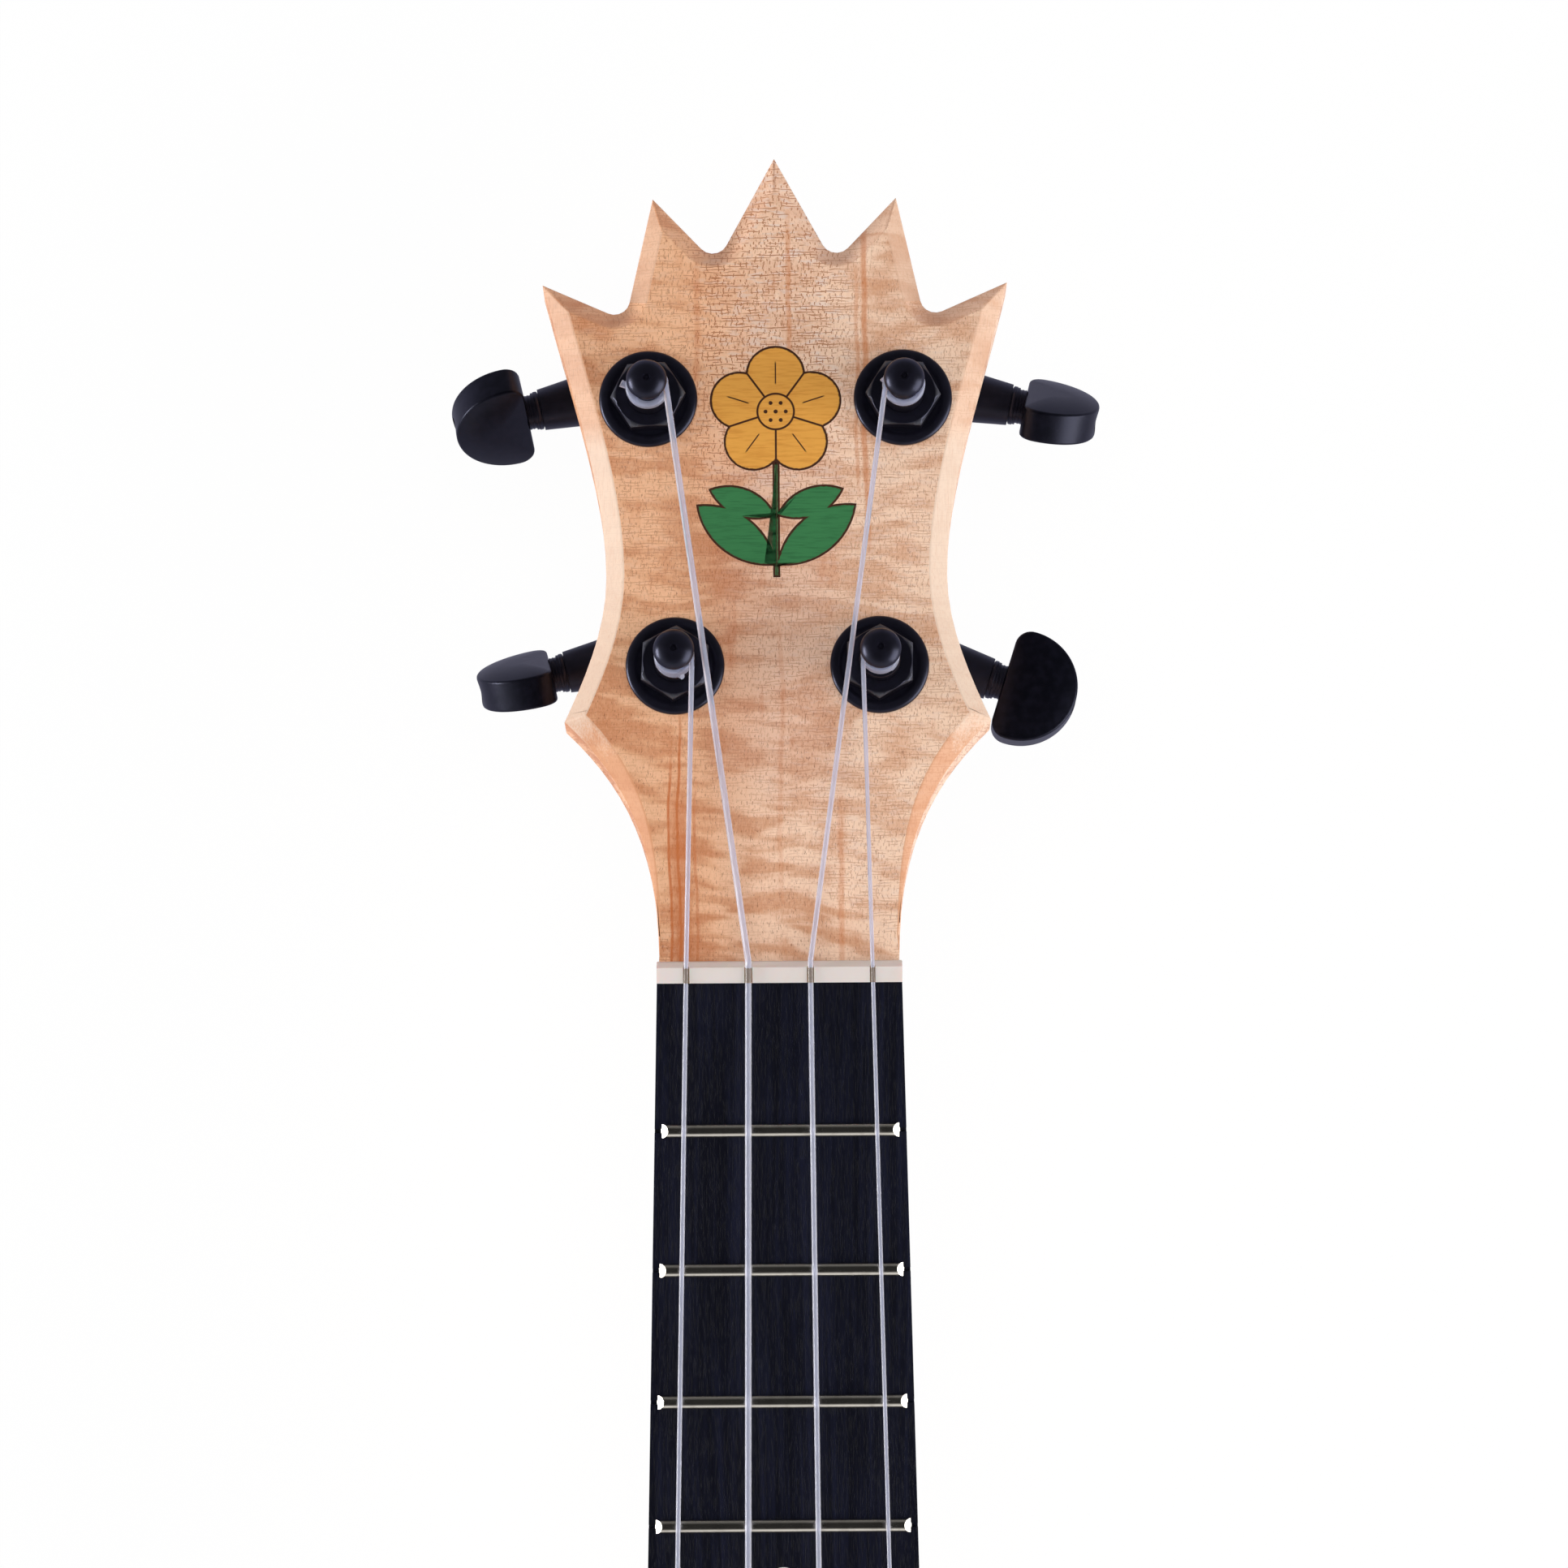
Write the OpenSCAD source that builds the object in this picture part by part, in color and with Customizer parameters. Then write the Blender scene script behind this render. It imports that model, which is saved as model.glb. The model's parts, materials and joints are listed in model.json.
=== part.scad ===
// Concert ukulele with a crown headstock and sealed worm-gear tuning machines.
// It lies on its back: X runs across the strings, Y towards the headstock, Z out of the soundboard.
// The origin is the middle of the sound box's length and width, on the outside of the back.

/* [Sound box] */
// Length of the sound box from the tail to the neck joint
body_length = 280; // [260:1:300]
// Width across the upper bout
upper_bout_width = 143; // [130:1:156]
// Width across the waist
waist_width = 118; // [106:1:128]
// Width across the lower bout
lower_bout_width = 192; // [176:1:208]
// Distance from the neck joint to the widest line of the upper bout
upper_bout_from_joint = 60; // [52:1:68]
// Distance from the neck joint to the waist
waist_from_joint = 110; // [102:1:118]
// Distance from the neck joint to the widest line of the lower bout
lower_bout_from_joint = 197; // [188:1:206]
// Width of the flat on the rim that the heel is bolted to
joint_flat_width = 52; // [50:1:60]
// Depth of the sound box over both plates
body_depth = 64; // [54:1:74]
// Thickness of the soundboard
soundboard_thickness = 2.4; // [1.8:0.1:3]
// Thickness of the back
back_thickness = 2.8; // [1.8:0.1:3.2]
// Thickness of the bent sides
side_thickness = 2.4; // [1.6:0.1:3]
// Width of the linings that glue the plates to the sides
lining_width = 5; // [4:0.5:7]
// Height of the linings
lining_height = 7; // [5:0.5:10]
// Length of the neck block along the neck
neck_block_length = 24; // [18:1:32]
// Width of the neck block
neck_block_width = 62; // [54:1:70]
// Length of the tail block along the body
tail_block_length = 16; // [10:1:20]
// Width of the tail block
tail_block_width = 60; // [48:1:74]
// Width of each brace
brace_width = 6; // [4:0.5:8]
// Height of each brace
brace_height = 9; // [7:0.5:12]
// Height left at the scalloped ends of each brace
brace_end_height = 3; // [2:0.5:5]

/* [Sound hole and rosette] */
// Radius of the sound hole
sound_hole_radius = 27; // [24:0.5:30]
// Distance from the saddle to the centre of the sound hole, as a share of the scale
hole_place = 0.2362; // [0.226:0.001:0.242]
// Plain wood between the sound hole and the rosette
rosette_margin = 3.5; // [2:0.5:5]
// Width of the rosette ring
rosette_width = 5; // [3:0.5:6]
// Depth of the rosette inlay
rosette_depth = 1; // [0.6:0.1:1.4]

/* [Strings and scale] */
// String length from the nut to the saddle
scale_length = 381; // [375:1:387]
// Number of the fret at the neck joint
joint_fret = 14; // [13:1:15]
// Diameter of each string, in the order G C E A
string_diameters = [0.7, 0.95, 0.8, 0.6];
// Distance between the outer strings at the nut
nut_string_spread = 26.9; // [24:0.1:29]
// Distance between the outer strings at the saddle
saddle_string_spread = 43; // [40:0.5:46]
// Height of the open strings over the first fret's crown at the nut
nut_action = 0.4; // [0.3:0.05:0.8]
// Height of the saddle's crown over the plane of the fretboard
saddle_over_board = 5.8; // [5:0.1:7]

/* [Fretboard] */
// Fretboard left past the last fret
board_overhang = 3.7; // [2:0.1:5]
// Width of the fretboard at the nut
nut_width = 35.5; // [34:0.5:38]
// Width of the fretboard at its body end
board_end_width = 46.5; // [44:0.5:49]
// Thickness of the fretboard
board_thickness = 5; // [4:0.5:7]
// Number of frets
fret_count = 18; // [15:1:18]
// Width of a fret's crown
fret_width = 1.8; // [1.4:0.1:2.2]
// Height of a fret's crown
fret_height = 0.9; // [0.7:0.1:1.2]
// Width of a fret's tang in its slot
tang_width = 0.6; // [0.5:0.1:0.8]
// Depth of a fret's tang in its slot
tang_depth = 1.6; // [1:0.1:2.2]
// Distance that each fret's end stops short of the board's edge
fret_end_margin = 0.5; // [0.3:0.1:1]
// Diameter of the position dots
marker_diameter = 5; // [3:0.5:6]
// Diameter of the dots on the board's edge
side_marker_diameter = 2; // [1.5:0.1:2.5]
// Depth of all the dots
marker_depth = 1.2; // [0.8:0.1:1.5]
// Frets that carry a dot
marker_frets = [5, 7, 10, 12, 15];
// Thickness of the nut along the strings
nut_thickness = 3; // [2.5:0.1:5]

/* [Neck] */
// Thickness of the neck under the board where the heel begins
neck_depth = 15; // [13.5:0.5:18]
// Length of the heel along the neck
heel_length = 44; // [36:1:52]
// Thickness of the heel cap
heel_cap_thickness = 2.5; // [1.5:0.5:4]
// Length of the heel cap along the neck
heel_cap_length = 15; // [10:1:20]
// Width of the heel at its cap, as a share of its width at the board
heel_taper = 0.45; // [0.35:0.05:0.7]
// Diameter of the bolt that holds the neck
neck_bolt_diameter = 6; // [5:0.5:8]
// Height of the neck bolt over the back
neck_bolt_height = 34; // [28:1:38]

/* [Headstock] */
// Angle that the headstock leans back
head_tilt = 10.3; // [8:0.1:13]
// Thickness of the headstock
head_thickness = 12; // [11:0.5:14]
// Length of the headstock from the nut to the middle point of the crown
head_length = 121.3; // [117:0.1:124]
// Half width and height of the crown's inner points
inner_point = [18.1, 115.2];
// Half width and height of the crown's outer points
outer_point = [34.5, 102.1];
// Half width and height of the notches beside the middle point
inner_notch = [8.7, 105.2];
// Half width and height of the notches beside the outer points
outer_notch = [22.2, 96.6];
// Radius at the bottom of the crown's notches
notch_radius = 2.3; // [1.5:0.1:3]
// Half width and height of the headstock's waist
head_waist = [25.1, 57.6];
// Half width and height of the headstock's lower shoulder
head_shoulder = [31.3, 36];
// Width of the bevel round the front face
bevel_width = 2.6; // [1.5:0.1:3]
// Depth of the bevel round the front face
bevel_depth = 2.3; // [1.2:0.1:3.5]
// Width and depth of the small bevel round the back face
back_bevel = 0.8; // [0.4:0.1:1.5]

/* [Inlay] */
// Radius of the flower over its petals
flower_radius = 10; // [8:0.5:11]
// Number of petals
petal_count = 5; // [5:1:8]
// Height of the flower's centre on the headstock
flower_height = 82; // [80:0.5:83]
// Length of each leaf
leaf_length = 15; // [12:0.5:16]
// Width of each leaf
leaf_width = 6.2; // [5:0.2:7]
// Thickness of the inlay
inlay_thickness = 1; // [0.6:0.1:1.5]

/* [Tuning machines] */
// Half distance between the lower posts, and their height on the headstock
lower_post = [15, 43.8];
// Half distance between the upper posts, and their height on the headstock
upper_post = [18.8, 84];
// Angle that each machine is turned towards the nut, in the order G C E A
machine_turns = [12.5, 12.5, 11.5, 17.5];
// Angle that each button rests at, in the order G C E A
button_turns = [-65, 63, -59, 0];
// Diameter of the string post in its bushing
post_diameter = 6; // [5.5:0.1:6.5]
// Height of the post over the front face
post_height = 14; // [13:0.5:15.5]
// Diameter of the post's waist that the string winds on
post_waist_diameter = 5; // [4:0.1:5.2]
// Height of the post's domed cap
post_cap_height = 2.8; // [2:0.1:3.2]
// Length of the post's waist
post_waist_length = 4; // [3.5:0.1:5]
// Radial clearance of everything that turns
running_clearance = 0.05; // [0.02:0.01:0.09]
// Diameter of the washer on the front face
washer_diameter = 14.5; // [13:0.1:15]
// Thickness of the washer
washer_thickness = 0.9; // [0.6:0.1:1.2]
// Width across the flats of the bushing's hexagon
bushing_flats = 9.6; // [9:0.1:10.5]
// Height of the bushing's hexagon
bushing_height = 2.4; // [1.8:0.1:3]
// Diameter of the bushing's barrel in the headstock
barrel_diameter = 8; // [7.6:0.1:8.6]
// Length of the bushing's barrel in the headstock
barrel_length = 8; // [5:0.5:10]
// Number of teeth on the worm wheel
wheel_teeth = 14; // [12:1:16]
// Lead of the single-start worm
worm_lead = 1.8; // [1.6:0.05:2]
// Pitch diameter of the worm
worm_pitch_diameter = 4; // [3.6:0.1:4.4]
// Width of the worm wheel
wheel_width = 3.2; // [2.6:0.1:3.6]
// Length of the worm's thread
worm_length = 5.4; // [4.5:0.1:6.5]
// Depth of the worm's axis behind the headstock
worm_drop = 4.6; // [4.5:0.1:5.5]
// Wall of the gear case
case_wall = 1.2; // [0.8:0.1:1.5]
// Distance from the post's axis to the end of the sleeve
sleeve_reach = 15.5; // [15:0.1:18]
// Diameter of the sleeve at its end
sleeve_end_diameter = 6.2; // [5.6:0.1:6.8]
// Diameter of the worm's shaft in the sleeve
shaft_diameter = 4; // [3.4:0.1:4.3]
// Diameter of the screw that holds each gear case
case_screw_diameter = 2.2; // [1.8:0.1:2.6]

/* [Buttons] */
// Length of a button along its shaft
button_length = 11.1; // [10:0.1:13]
// Width of a button across its shaft
button_width = 16.8; // [15:0.1:18]
// Radius of the two corners beside a button's flat side
button_corner = 2.4; // [1.6:0.1:3]
// Bevel round the edges of a button
button_edge = 0.9; // [0.5:0.1:1.4]
// Thickness of a button
button_thickness = 6.5; // [6:0.1:8]
// Gap between the sleeve and the collar of the shaft
collar_gap = 0.1; // [0.1:0.05:0.6]
// Thickness of each of the shaft's two collars
collar_thickness = 1.05; // [0.6:0.05:1.5]

/* [Bridge] */
// Length of the bridge across the soundboard
bridge_length = 78; // [70:1:86]
// Width of the bridge along the strings
bridge_width = 22; // [21:1:26]
// Height of the bridge
bridge_height = 7; // [6:0.1:7.5]
// Height of the bridge at its wing tips
bridge_tip_height = 3; // [2:0.5:4]
// Bridge wood in front of the saddle's middle
bridge_front = 6; // [5:0.5:8]
// Length of the tie block behind the saddle
tie_block_length = 8; // [6:0.5:9]
// Diameter of the string holes in the tie block
tie_hole_diameter = 1.8; // [1.6:0.1:2.4]
// Length of the saddle
saddle_length = 50; // [49:0.5:54]
// Thickness of the saddle
saddle_thickness = 2.6; // [2:0.1:3.2]
// Depth of the saddle's slot in the bridge
saddle_slot_depth = 3.5; // [2.5:0.5:4]

/* [Hidden] */

// Circles are true curves, so this only sets how finely they are drawn.
$fn = 48;
// Points on each curved stretch of an outline.
curve_steps = 14;
// How far a cutter runs past the face that it cuts.
overcut = 1;
// Clearance between two pieces that are assembled but not glued.
seat_clearance = 0.1;
glue_layer = 0.005;

// Colours
maple = "burlywood";
dark_wood = "#2b2b2f";
spruce = "navajowhite";
black_metal = "#222226";
bone = "ivory";
nickel = "silver";

// Stations along the neck
joint_y = body_length / 2;
tail_y = -body_length / 2;
nut_y = joint_y + fret_distance(joint_fret);
saddle_y = nut_y - scale_length;
head_y = nut_y + nut_thickness;
board_length = fret_distance(fret_count) + board_overhang;
board_end_y = nut_y - board_length;
hole_y = saddle_y + scale_length * hole_place;

// Heights over the back
plate_top = body_depth;
rim_bottom = back_thickness;
rim_height = body_depth - back_thickness - soundboard_thickness;
rim_top = rim_bottom + rim_height;
board_top = plate_top + board_thickness;
saddle_top = board_top + saddle_over_board;
tie_hole_z = plate_top + bridge_height / 2;

// Space inside the sides and inside the linings
inside_linings = side_thickness + lining_width;

function fret_distance(n) = scale_length * (1 - pow(2, -n / 12));
function fret_y(n) = nut_y - fret_distance(n);
function board_half_width(y) =
    (nut_width + (board_end_width - nut_width) * (nut_y - y) / board_length) / 2;

// ---- Curves and outlines ----

function unit(v) = v / norm(v);
function flip_x(p) = [for (i = [len(p) - 1:-1:0]) [-p[i][0], p[i][1]]];
function bezier(p, t) =
    let (u = 1 - t) u * u * u * p[0] + 3 * u * u * t * p[1] + 3 * u * t * t * p[2] + t * t * t * p[3];
// Points of a cubic curve without its last point.
function curve(p, steps = curve_steps) = [for (i = [0:steps - 1]) bezier(p, i / steps)];
// A point between two others, by its own share of the way in each direction.
function between(a, b, share_x, share_y) =
    [a[0] + (b[0] - a[0]) * share_x, a[1] + (b[1] - a[1]) * share_y];
function left_of(a, b) = let (e = unit(b - a)) [-e[1], e[0]];
// One corner of a counter-clockwise outline, moved inwards by d.
function inset_corner(p, i, d) =
    let (
        n = len(p),
        a = left_of(p[(i + n - 1) % n], p[i]),
        b = left_of(p[i], p[(i + 1) % n])
    )
    p[i] + d * (a + b) / (1 + a * b);
function inset(p, d) = [for (i = [0:len(p) - 1]) inset_corner(p, i, d)];

// A curve that leaves one bout straight down and meets the next straight down.
function bout_curve(a, b, ease = 0.5) =
    let (drop = (a[1] - b[1]) * ease)
    curve([a, a - [0, drop], b + [0, drop], b]);

// Right half of the sound box, from the neck joint down to the tail.
function body_half() =
    let (
        flat_end = [joint_flat_width / 2, joint_y],
        upper = [upper_bout_width / 2, joint_y - upper_bout_from_joint],
        waist = [waist_width / 2, joint_y - waist_from_joint],
        lower = [lower_bout_width / 2, joint_y - lower_bout_from_joint],
        tail = [0, tail_y]
    )
    concat(
        curve([flat_end, flat_end + [(upper[0] - flat_end[0]) * 0.62, 0],
            upper + [0, upper_bout_from_joint * 0.52], upper]),
        bout_curve(upper, waist),
        bout_curve(waist, lower),
        curve([lower, lower - [0, (lower[1] - tail_y) * 0.56], tail + [lower[0] * 0.6, 0], tail]),
        [tail]
    );
body_half_points = body_half();
body_outline = concat(
    [for (i = [len(body_half_points) - 1:-1:0]) body_half_points[i]],
    [for (i = [0:len(body_half_points) - 2]) [-body_half_points[i][0], body_half_points[i][1]]]
);

module body_slab(height, d = 0) {
    linear_extrude(height = height)
        polygon(inset(body_outline, d));
}

// ---- Sound box ----

module soundboard() {
    color(spruce)
    difference() {
        translate([0, 0, rim_top])
            body_slab(soundboard_thickness);
        translate([0, hole_y, rim_top - overcut])
            cylinder(r = sound_hole_radius, h = soundboard_thickness + 2 * overcut);
        translate([0, hole_y, plate_top - rosette_depth])
            rosette_ring(rosette_depth + overcut);
    }
}

module rosette_ring(height) {
    inner = sound_hole_radius + rosette_margin;
    difference() {
        cylinder(r = inner + rosette_width, h = height);
        translate([0, 0, -overcut])
            cylinder(r = inner, h = height + 2 * overcut);
    }
}

module rosette() {
    color(dark_wood)
    translate([0, hole_y, plate_top - rosette_depth])
        rosette_ring(rosette_depth);
}

module back_plate() {
    color(maple)
        body_slab(back_thickness);
}

// One bent side: side is 1 for the right and -1 for the left.
module bent_side(side) {
    color(maple)
    difference() {
        translate([0, 0, rim_bottom])
            body_slab(rim_height);
        translate([0, 0, rim_bottom - overcut])
            body_slab(rim_height + 2 * overcut, side_thickness);
        translate([-side * body_length, -body_length, rim_bottom - overcut])
            translate([side > 0 ? 0 : -body_length, 0, 0])
                cube([2 * body_length - (side > 0 ? body_length : 0),
                    2 * body_length, rim_height + 2 * overcut]);
        neck_bolt_hole();
    }
}

module neck_bolt_hole() {
    translate([0, joint_y - neck_block_length - overcut, neck_bolt_height])
        rotate([-90, 0, 0])
            cylinder(d = neck_bolt_diameter + 2 * seat_clearance, h = neck_block_length + 2 * overcut);
}

module block_space(width, low_y, high_y) {
    translate([-width / 2, low_y, 0])
        cube([width, high_y - low_y, body_depth]);
}

module neck_block_space() {
    block_space(neck_block_width, joint_y - neck_block_length, joint_y);
}

module tail_block_space() {
    block_space(tail_block_width, tail_y, tail_y + tail_block_length);
}

module neck_block() {
    color(maple)
    difference() {
        intersection() {
            translate([0, 0, rim_bottom])
                body_slab(rim_height, side_thickness);
            neck_block_space();
        }
        neck_bolt_hole();
    }
}

module tail_block() {
    color(maple)
    intersection() {
        translate([0, 0, rim_bottom])
            body_slab(rim_height, side_thickness);
        tail_block_space();
    }
}

// A band of lining inside the sides, left open for the two blocks.
module lining_band() {
    difference() {
        body_slab(lining_height, side_thickness);
        translate([0, 0, -overcut])
            body_slab(lining_height + 2 * overcut, inside_linings);
        translate([0, 0, -overcut]) {
            neck_block_space();
            tail_block_space();
        }
    }
}

module top_linings() {
    color(maple)
    translate([0, 0, rim_top - lining_height])
        lining_band();
}

module back_linings() {
    color(maple)
    translate([0, 0, rim_bottom])
        lining_band();
}

// A bar across the body with scalloped ends, from z = 0 up to the brace height.
module cross_bar(y, span) {
    scallop = brace_height - brace_end_height;
    translate([0, y + brace_width / 2, 0])
        rotate([90, 0, 0])
            linear_extrude(height = brace_width)
                difference() {
                    translate([-span / 2, 0])
                        square([span, brace_height]);
                    for (side = [-1, 1])
                        translate([side * span / 2, brace_height])
                            circle(r = scallop);
                }
}

// Half width of the sound box at a station along it.
function half_width_at(y) = lookup(y, [for (p = body_half_points) [p[1], p[0]]]);
// Length of a brace that fits between the linings at a station.
function inside_span(y) =
    2 * (min(half_width_at(y - brace_width), half_width_at(y + brace_width)) - 1.3 * inside_linings);

module top_braces() {
    from_hole = sound_hole_radius + rosette_margin + rosette_width + brace_width;
    upper_y = hole_y + from_hole;
    lower_y = hole_y - from_hole;
    fan_x = bridge_length / 2 + brace_width;
    fan_top = lower_y - brace_width;
    fan_bottom = tail_y + tail_block_length + lining_width + 3 * brace_width;
    color(spruce)
    translate([0, 0, rim_top])
        mirror([0, 0, 1]) {
            cross_bar(upper_y, inside_span(upper_y));
            cross_bar(lower_y, inside_span(lower_y));
            for (side = [-1, 1])
                translate([side * fan_x - brace_width / 2, fan_bottom, 0])
                    cube([brace_width, fan_top - fan_bottom, brace_end_height * 2]);
        }
}

module back_braces() {
    stations = [joint_y - upper_bout_from_joint, joint_y - waist_from_joint - brace_width * 3,
        joint_y - lower_bout_from_joint];
    color(spruce)
    translate([0, 0, rim_bottom])
        for (y = stations)
            cross_bar(y, inside_span(y));
}

module bridge_plate() {
    plate_width = bridge_length - brace_width;
    plate_length = bridge_width + brace_width;
    color(maple)
    translate([-plate_width / 2, bridge_middle_y() - plate_length / 2, rim_top - back_thickness])
        cube([plate_width, plate_length, back_thickness]);
}

// ---- Bridge and saddle ----

function bridge_middle_y() = saddle_y + bridge_front - bridge_width / 2;
function bridge_back_y() = saddle_y + bridge_front - bridge_width;
function string_x(i, spread) = spread * (i / 3 - 1 / 2);

// Side view of the bridge: a rounded front, the channel behind the saddle and the tie block.
module bridge_profile() {
    front_radius = bridge_height * 0.6;
    channel_front = saddle_y - saddle_thickness * 1.5;
    channel_back = bridge_back_y() + tie_block_length;
    channel_floor = bridge_height / 2 - tie_hole_diameter;
    difference() {
        translate([bridge_back_y(), 0])
            square([bridge_width, bridge_height]);
        translate([saddle_y + bridge_front, bridge_height])
            circle(r = bridge_front - saddle_thickness);
        polygon([
            [channel_back, channel_floor], [channel_front, channel_floor],
            [saddle_y - saddle_thickness * 0.9, bridge_height + overcut],
            [channel_back, bridge_height + overcut]
        ]);
    }
}

module bridge() {
    wing_start = saddle_length / 2 + saddle_thickness;
    wing_rise = bridge_height - bridge_tip_height;
    color(dark_wood)
    difference() {
        translate([-bridge_length / 2, 0, plate_top])
            rotate([90, 0, 90])
                linear_extrude(height = bridge_length)
                    bridge_profile();
        for (side = [-1, 1])
            translate([side * (wing_start + wing_rise), 0, plate_top + bridge_height]) {
                translate([0, bridge_back_y() - overcut, 0])
                    rotate([-90, 0, 0])
                        cylinder(r = wing_rise, h = bridge_width + 2 * overcut);
                translate([side > 0 ? 0 : -bridge_length, bridge_back_y() - overcut, -wing_rise])
                    cube([bridge_length, bridge_width + 2 * overcut, wing_rise + overcut]);
            }
        saddle_block(plate_top + bridge_height - saddle_slot_depth, bridge_height);
        for (i = [0:3])
            translate([string_x(i, saddle_string_spread), bridge_back_y() - overcut, tie_hole_z])
                rotate([-90, 0, 0])
                    cylinder(d = tie_hole_diameter, h = tie_block_length + 2 * overcut);
    }
}

module saddle_block(bottom, height) {
    translate([-saddle_length / 2, saddle_y - saddle_thickness / 2, bottom])
        cube([saddle_length, saddle_thickness, height]);
}

module saddle() {
    bottom = plate_top + bridge_height - saddle_slot_depth;
    color(bone)
    intersection() {
        saddle_block(bottom, saddle_top - bottom);
        union() {
            saddle_block(bottom, saddle_top - bottom - saddle_thickness / 2);
            translate([-saddle_length / 2, saddle_y, saddle_top - saddle_thickness / 2])
                rotate([0, 90, 0])
                    cylinder(d = saddle_thickness, h = saddle_length);
        }
    }
}

// ---- Fretboard, frets and nut ----

module fretboard() {
    color(dark_wood)
    difference() {
        translate([0, 0, plate_top])
            linear_extrude(height = board_thickness)
                polygon([
                    [-board_half_width(board_end_y), board_end_y],
                    [board_half_width(board_end_y), board_end_y],
                    [board_half_width(nut_y), nut_y],
                    [-board_half_width(nut_y), nut_y]
                ]);
        for (n = [1:fret_count])
            translate([-board_end_width, fret_y(n) - tang_width / 2, board_top - tang_depth])
                cube([2 * board_end_width, tang_width, tang_depth + overcut]);
        face_dots(overcut);
        edge_dots(overcut);
    }
}

// Dots in the board's face; extra is how far they stand over it.
module face_dots(extra) {
    for (n = marker_frets)
        if (n <= fret_count)
            for (x = n == 12 ? [-1, 1] * board_half_width(fret_y(n)) / 2 : [0])
                translate([x, (fret_y(n) + fret_y(n - 1)) / 2, board_top - marker_depth])
                    cylinder(d = marker_diameter, h = marker_depth + extra);
}

// Dots in the board's left edge, which faces the player.
module edge_dots(extra) {
    for (n = marker_frets)
        if (n <= fret_count) {
            y = (fret_y(n) + fret_y(n - 1)) / 2;
            translate([-board_half_width(y) - extra, y, plate_top + board_thickness / 2])
                rotate([0, 90, 0])
                    cylinder(d = side_marker_diameter, h = marker_depth + extra);
        }
}

module fret_markers() {
    color(bone)
        face_dots(0);
}

module side_markers() {
    color(bone)
        edge_dots(0);
}

// One fret: a crown that is a segment of a circle, a tang, and bevelled ends.
module fret(n) {
    y = fret_y(n);
    half = board_half_width(y) - fret_end_margin;
    crown_radius = (pow(fret_width / 2, 2) + pow(fret_height, 2)) / (2 * fret_height);
    translate([0, y, board_top])
    intersection() {
        rotate([90, 0, 90])
            translate([0, 0, -half])
                linear_extrude(height = 2 * half) {
                    intersection() {
                        translate([0, fret_height - crown_radius])
                            circle(r = crown_radius);
                        translate([-fret_width / 2, 0])
                            square([fret_width, fret_height + overcut]);
                    }
                    translate([-tang_width / 2, -tang_depth])
                        square([tang_width, tang_depth + fret_height / 2]);
                }
        rotate([90, 0, 0])
            translate([0, 0, -fret_width])
                linear_extrude(height = 2 * fret_width)
                    polygon([
                        [-half, -tang_depth], [half, -tang_depth], [half, fret_height * 0.1],
                        [half - fret_height * 0.7, fret_height],
                        [-half + fret_height * 0.7, fret_height], [-half, fret_height * 0.1]
                    ]);
    }
}

module frets() {
    color(nickel)
    for (n = [1:fret_count])
        fret(n);
}

slot_bottom = board_top + fret_height + nut_action;
nut_top = slot_bottom + max(string_diameters) * 0.6;

module nut() {
    color(bone)
    difference() {
        translate([0, nut_y, plate_top])
            rotate([90, 0, 90])
                translate([0, 0, -nut_width / 2])
                    linear_extrude(height = nut_width)
                        polygon([
                            [0, 0], [nut_thickness, 0],
                            [nut_thickness, board_thickness],
                            [nut_thickness * 0.75, nut_top - plate_top],
                            [0, nut_top - plate_top]
                        ]);
        for (i = [0:3]) {
            slot = string_diameters[i] / 2 + seat_clearance;
            translate([string_x(i, nut_string_spread), nut_y - overcut, string_nut_z(i)])
                rotate([-90, 0, 0])
                    cylinder(r = slot, h = nut_thickness + 2 * overcut);
            translate([string_x(i, nut_string_spread) - slot, nut_y - overcut, string_nut_z(i)])
                cube([2 * slot, nut_thickness + 2 * overcut, board_thickness]);
        }
    }
}

// ---- Neck ----

function smooth(t) = let (s = min(1, max(0, t))) s * s * (3 - 2 * s);
// Share of the way into the heel, from 0 at its start to 1 at the front of its cap.
function heel_share(y) =
    min(1, max(0, (joint_y + heel_length - y) / (heel_length - heel_cap_length)));
// Width of the heel's lower edge as a share of the board's width; the cap has a rounded nose.
function heel_foot_share(y) =
    let (nose = min(1, max(0, (y - joint_y) / heel_cap_length)))
    heel_share(y) < 1
        ? 1 - (1 - heel_nose_share) * heel_share(y)
        : heel_nose_share + (heel_taper - heel_nose_share) * sqrt(1 - nose * nose);
heel_nose_share = 0.12;
function neck_depth_at(y) =
    let (
        nut_depth = head_thickness,
        along = (head_y - y) / (head_y - joint_y - heel_length),
        shaft = nut_depth + (neck_depth - nut_depth) * smooth(along * 1.4)
    )
    shaft + (plate_top - seat_clearance - shaft) * pow(heel_share(y), 3);
// Exponent of the neck's rounded section: square at the headstock, round along the shaft.
function neck_power(y) = 2.1 + 3 * pow(smooth(1 - (head_y - y) / 30), 2) + 1.6 * heel_share(y);

section_steps = 20;
// One half-round section of the neck, from its right edge under the strings to its left edge.
function neck_section(half, depth, power, taper) = [for (i = [0:section_steps])
    let (
        a = 180 * i / section_steps,
        c = cos(a),
        s = sin(a),
        fall = pow(abs(s), 2 / power)
    )
    [sign(c) * half * pow(abs(c), 2 / power) * (1 - (1 - taper) * fall), -depth * fall]];

function neck_ring(y) =
    let (section = neck_section(board_half_width(y), neck_depth_at(y), neck_power(y), heel_foot_share(y)))
    [for (p = section) [p[0], y, plate_top + p[1]]];
// The last ring lies a layer of glue before the headstock's end face.
function neck_head_ring() =
    let (section = neck_section(nut_width / 2, head_thickness, neck_power(head_y), 1))
    [for (p = section) from_head([p[0], 0, p[1]]) - [0, glue_layer, 0]];

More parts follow.
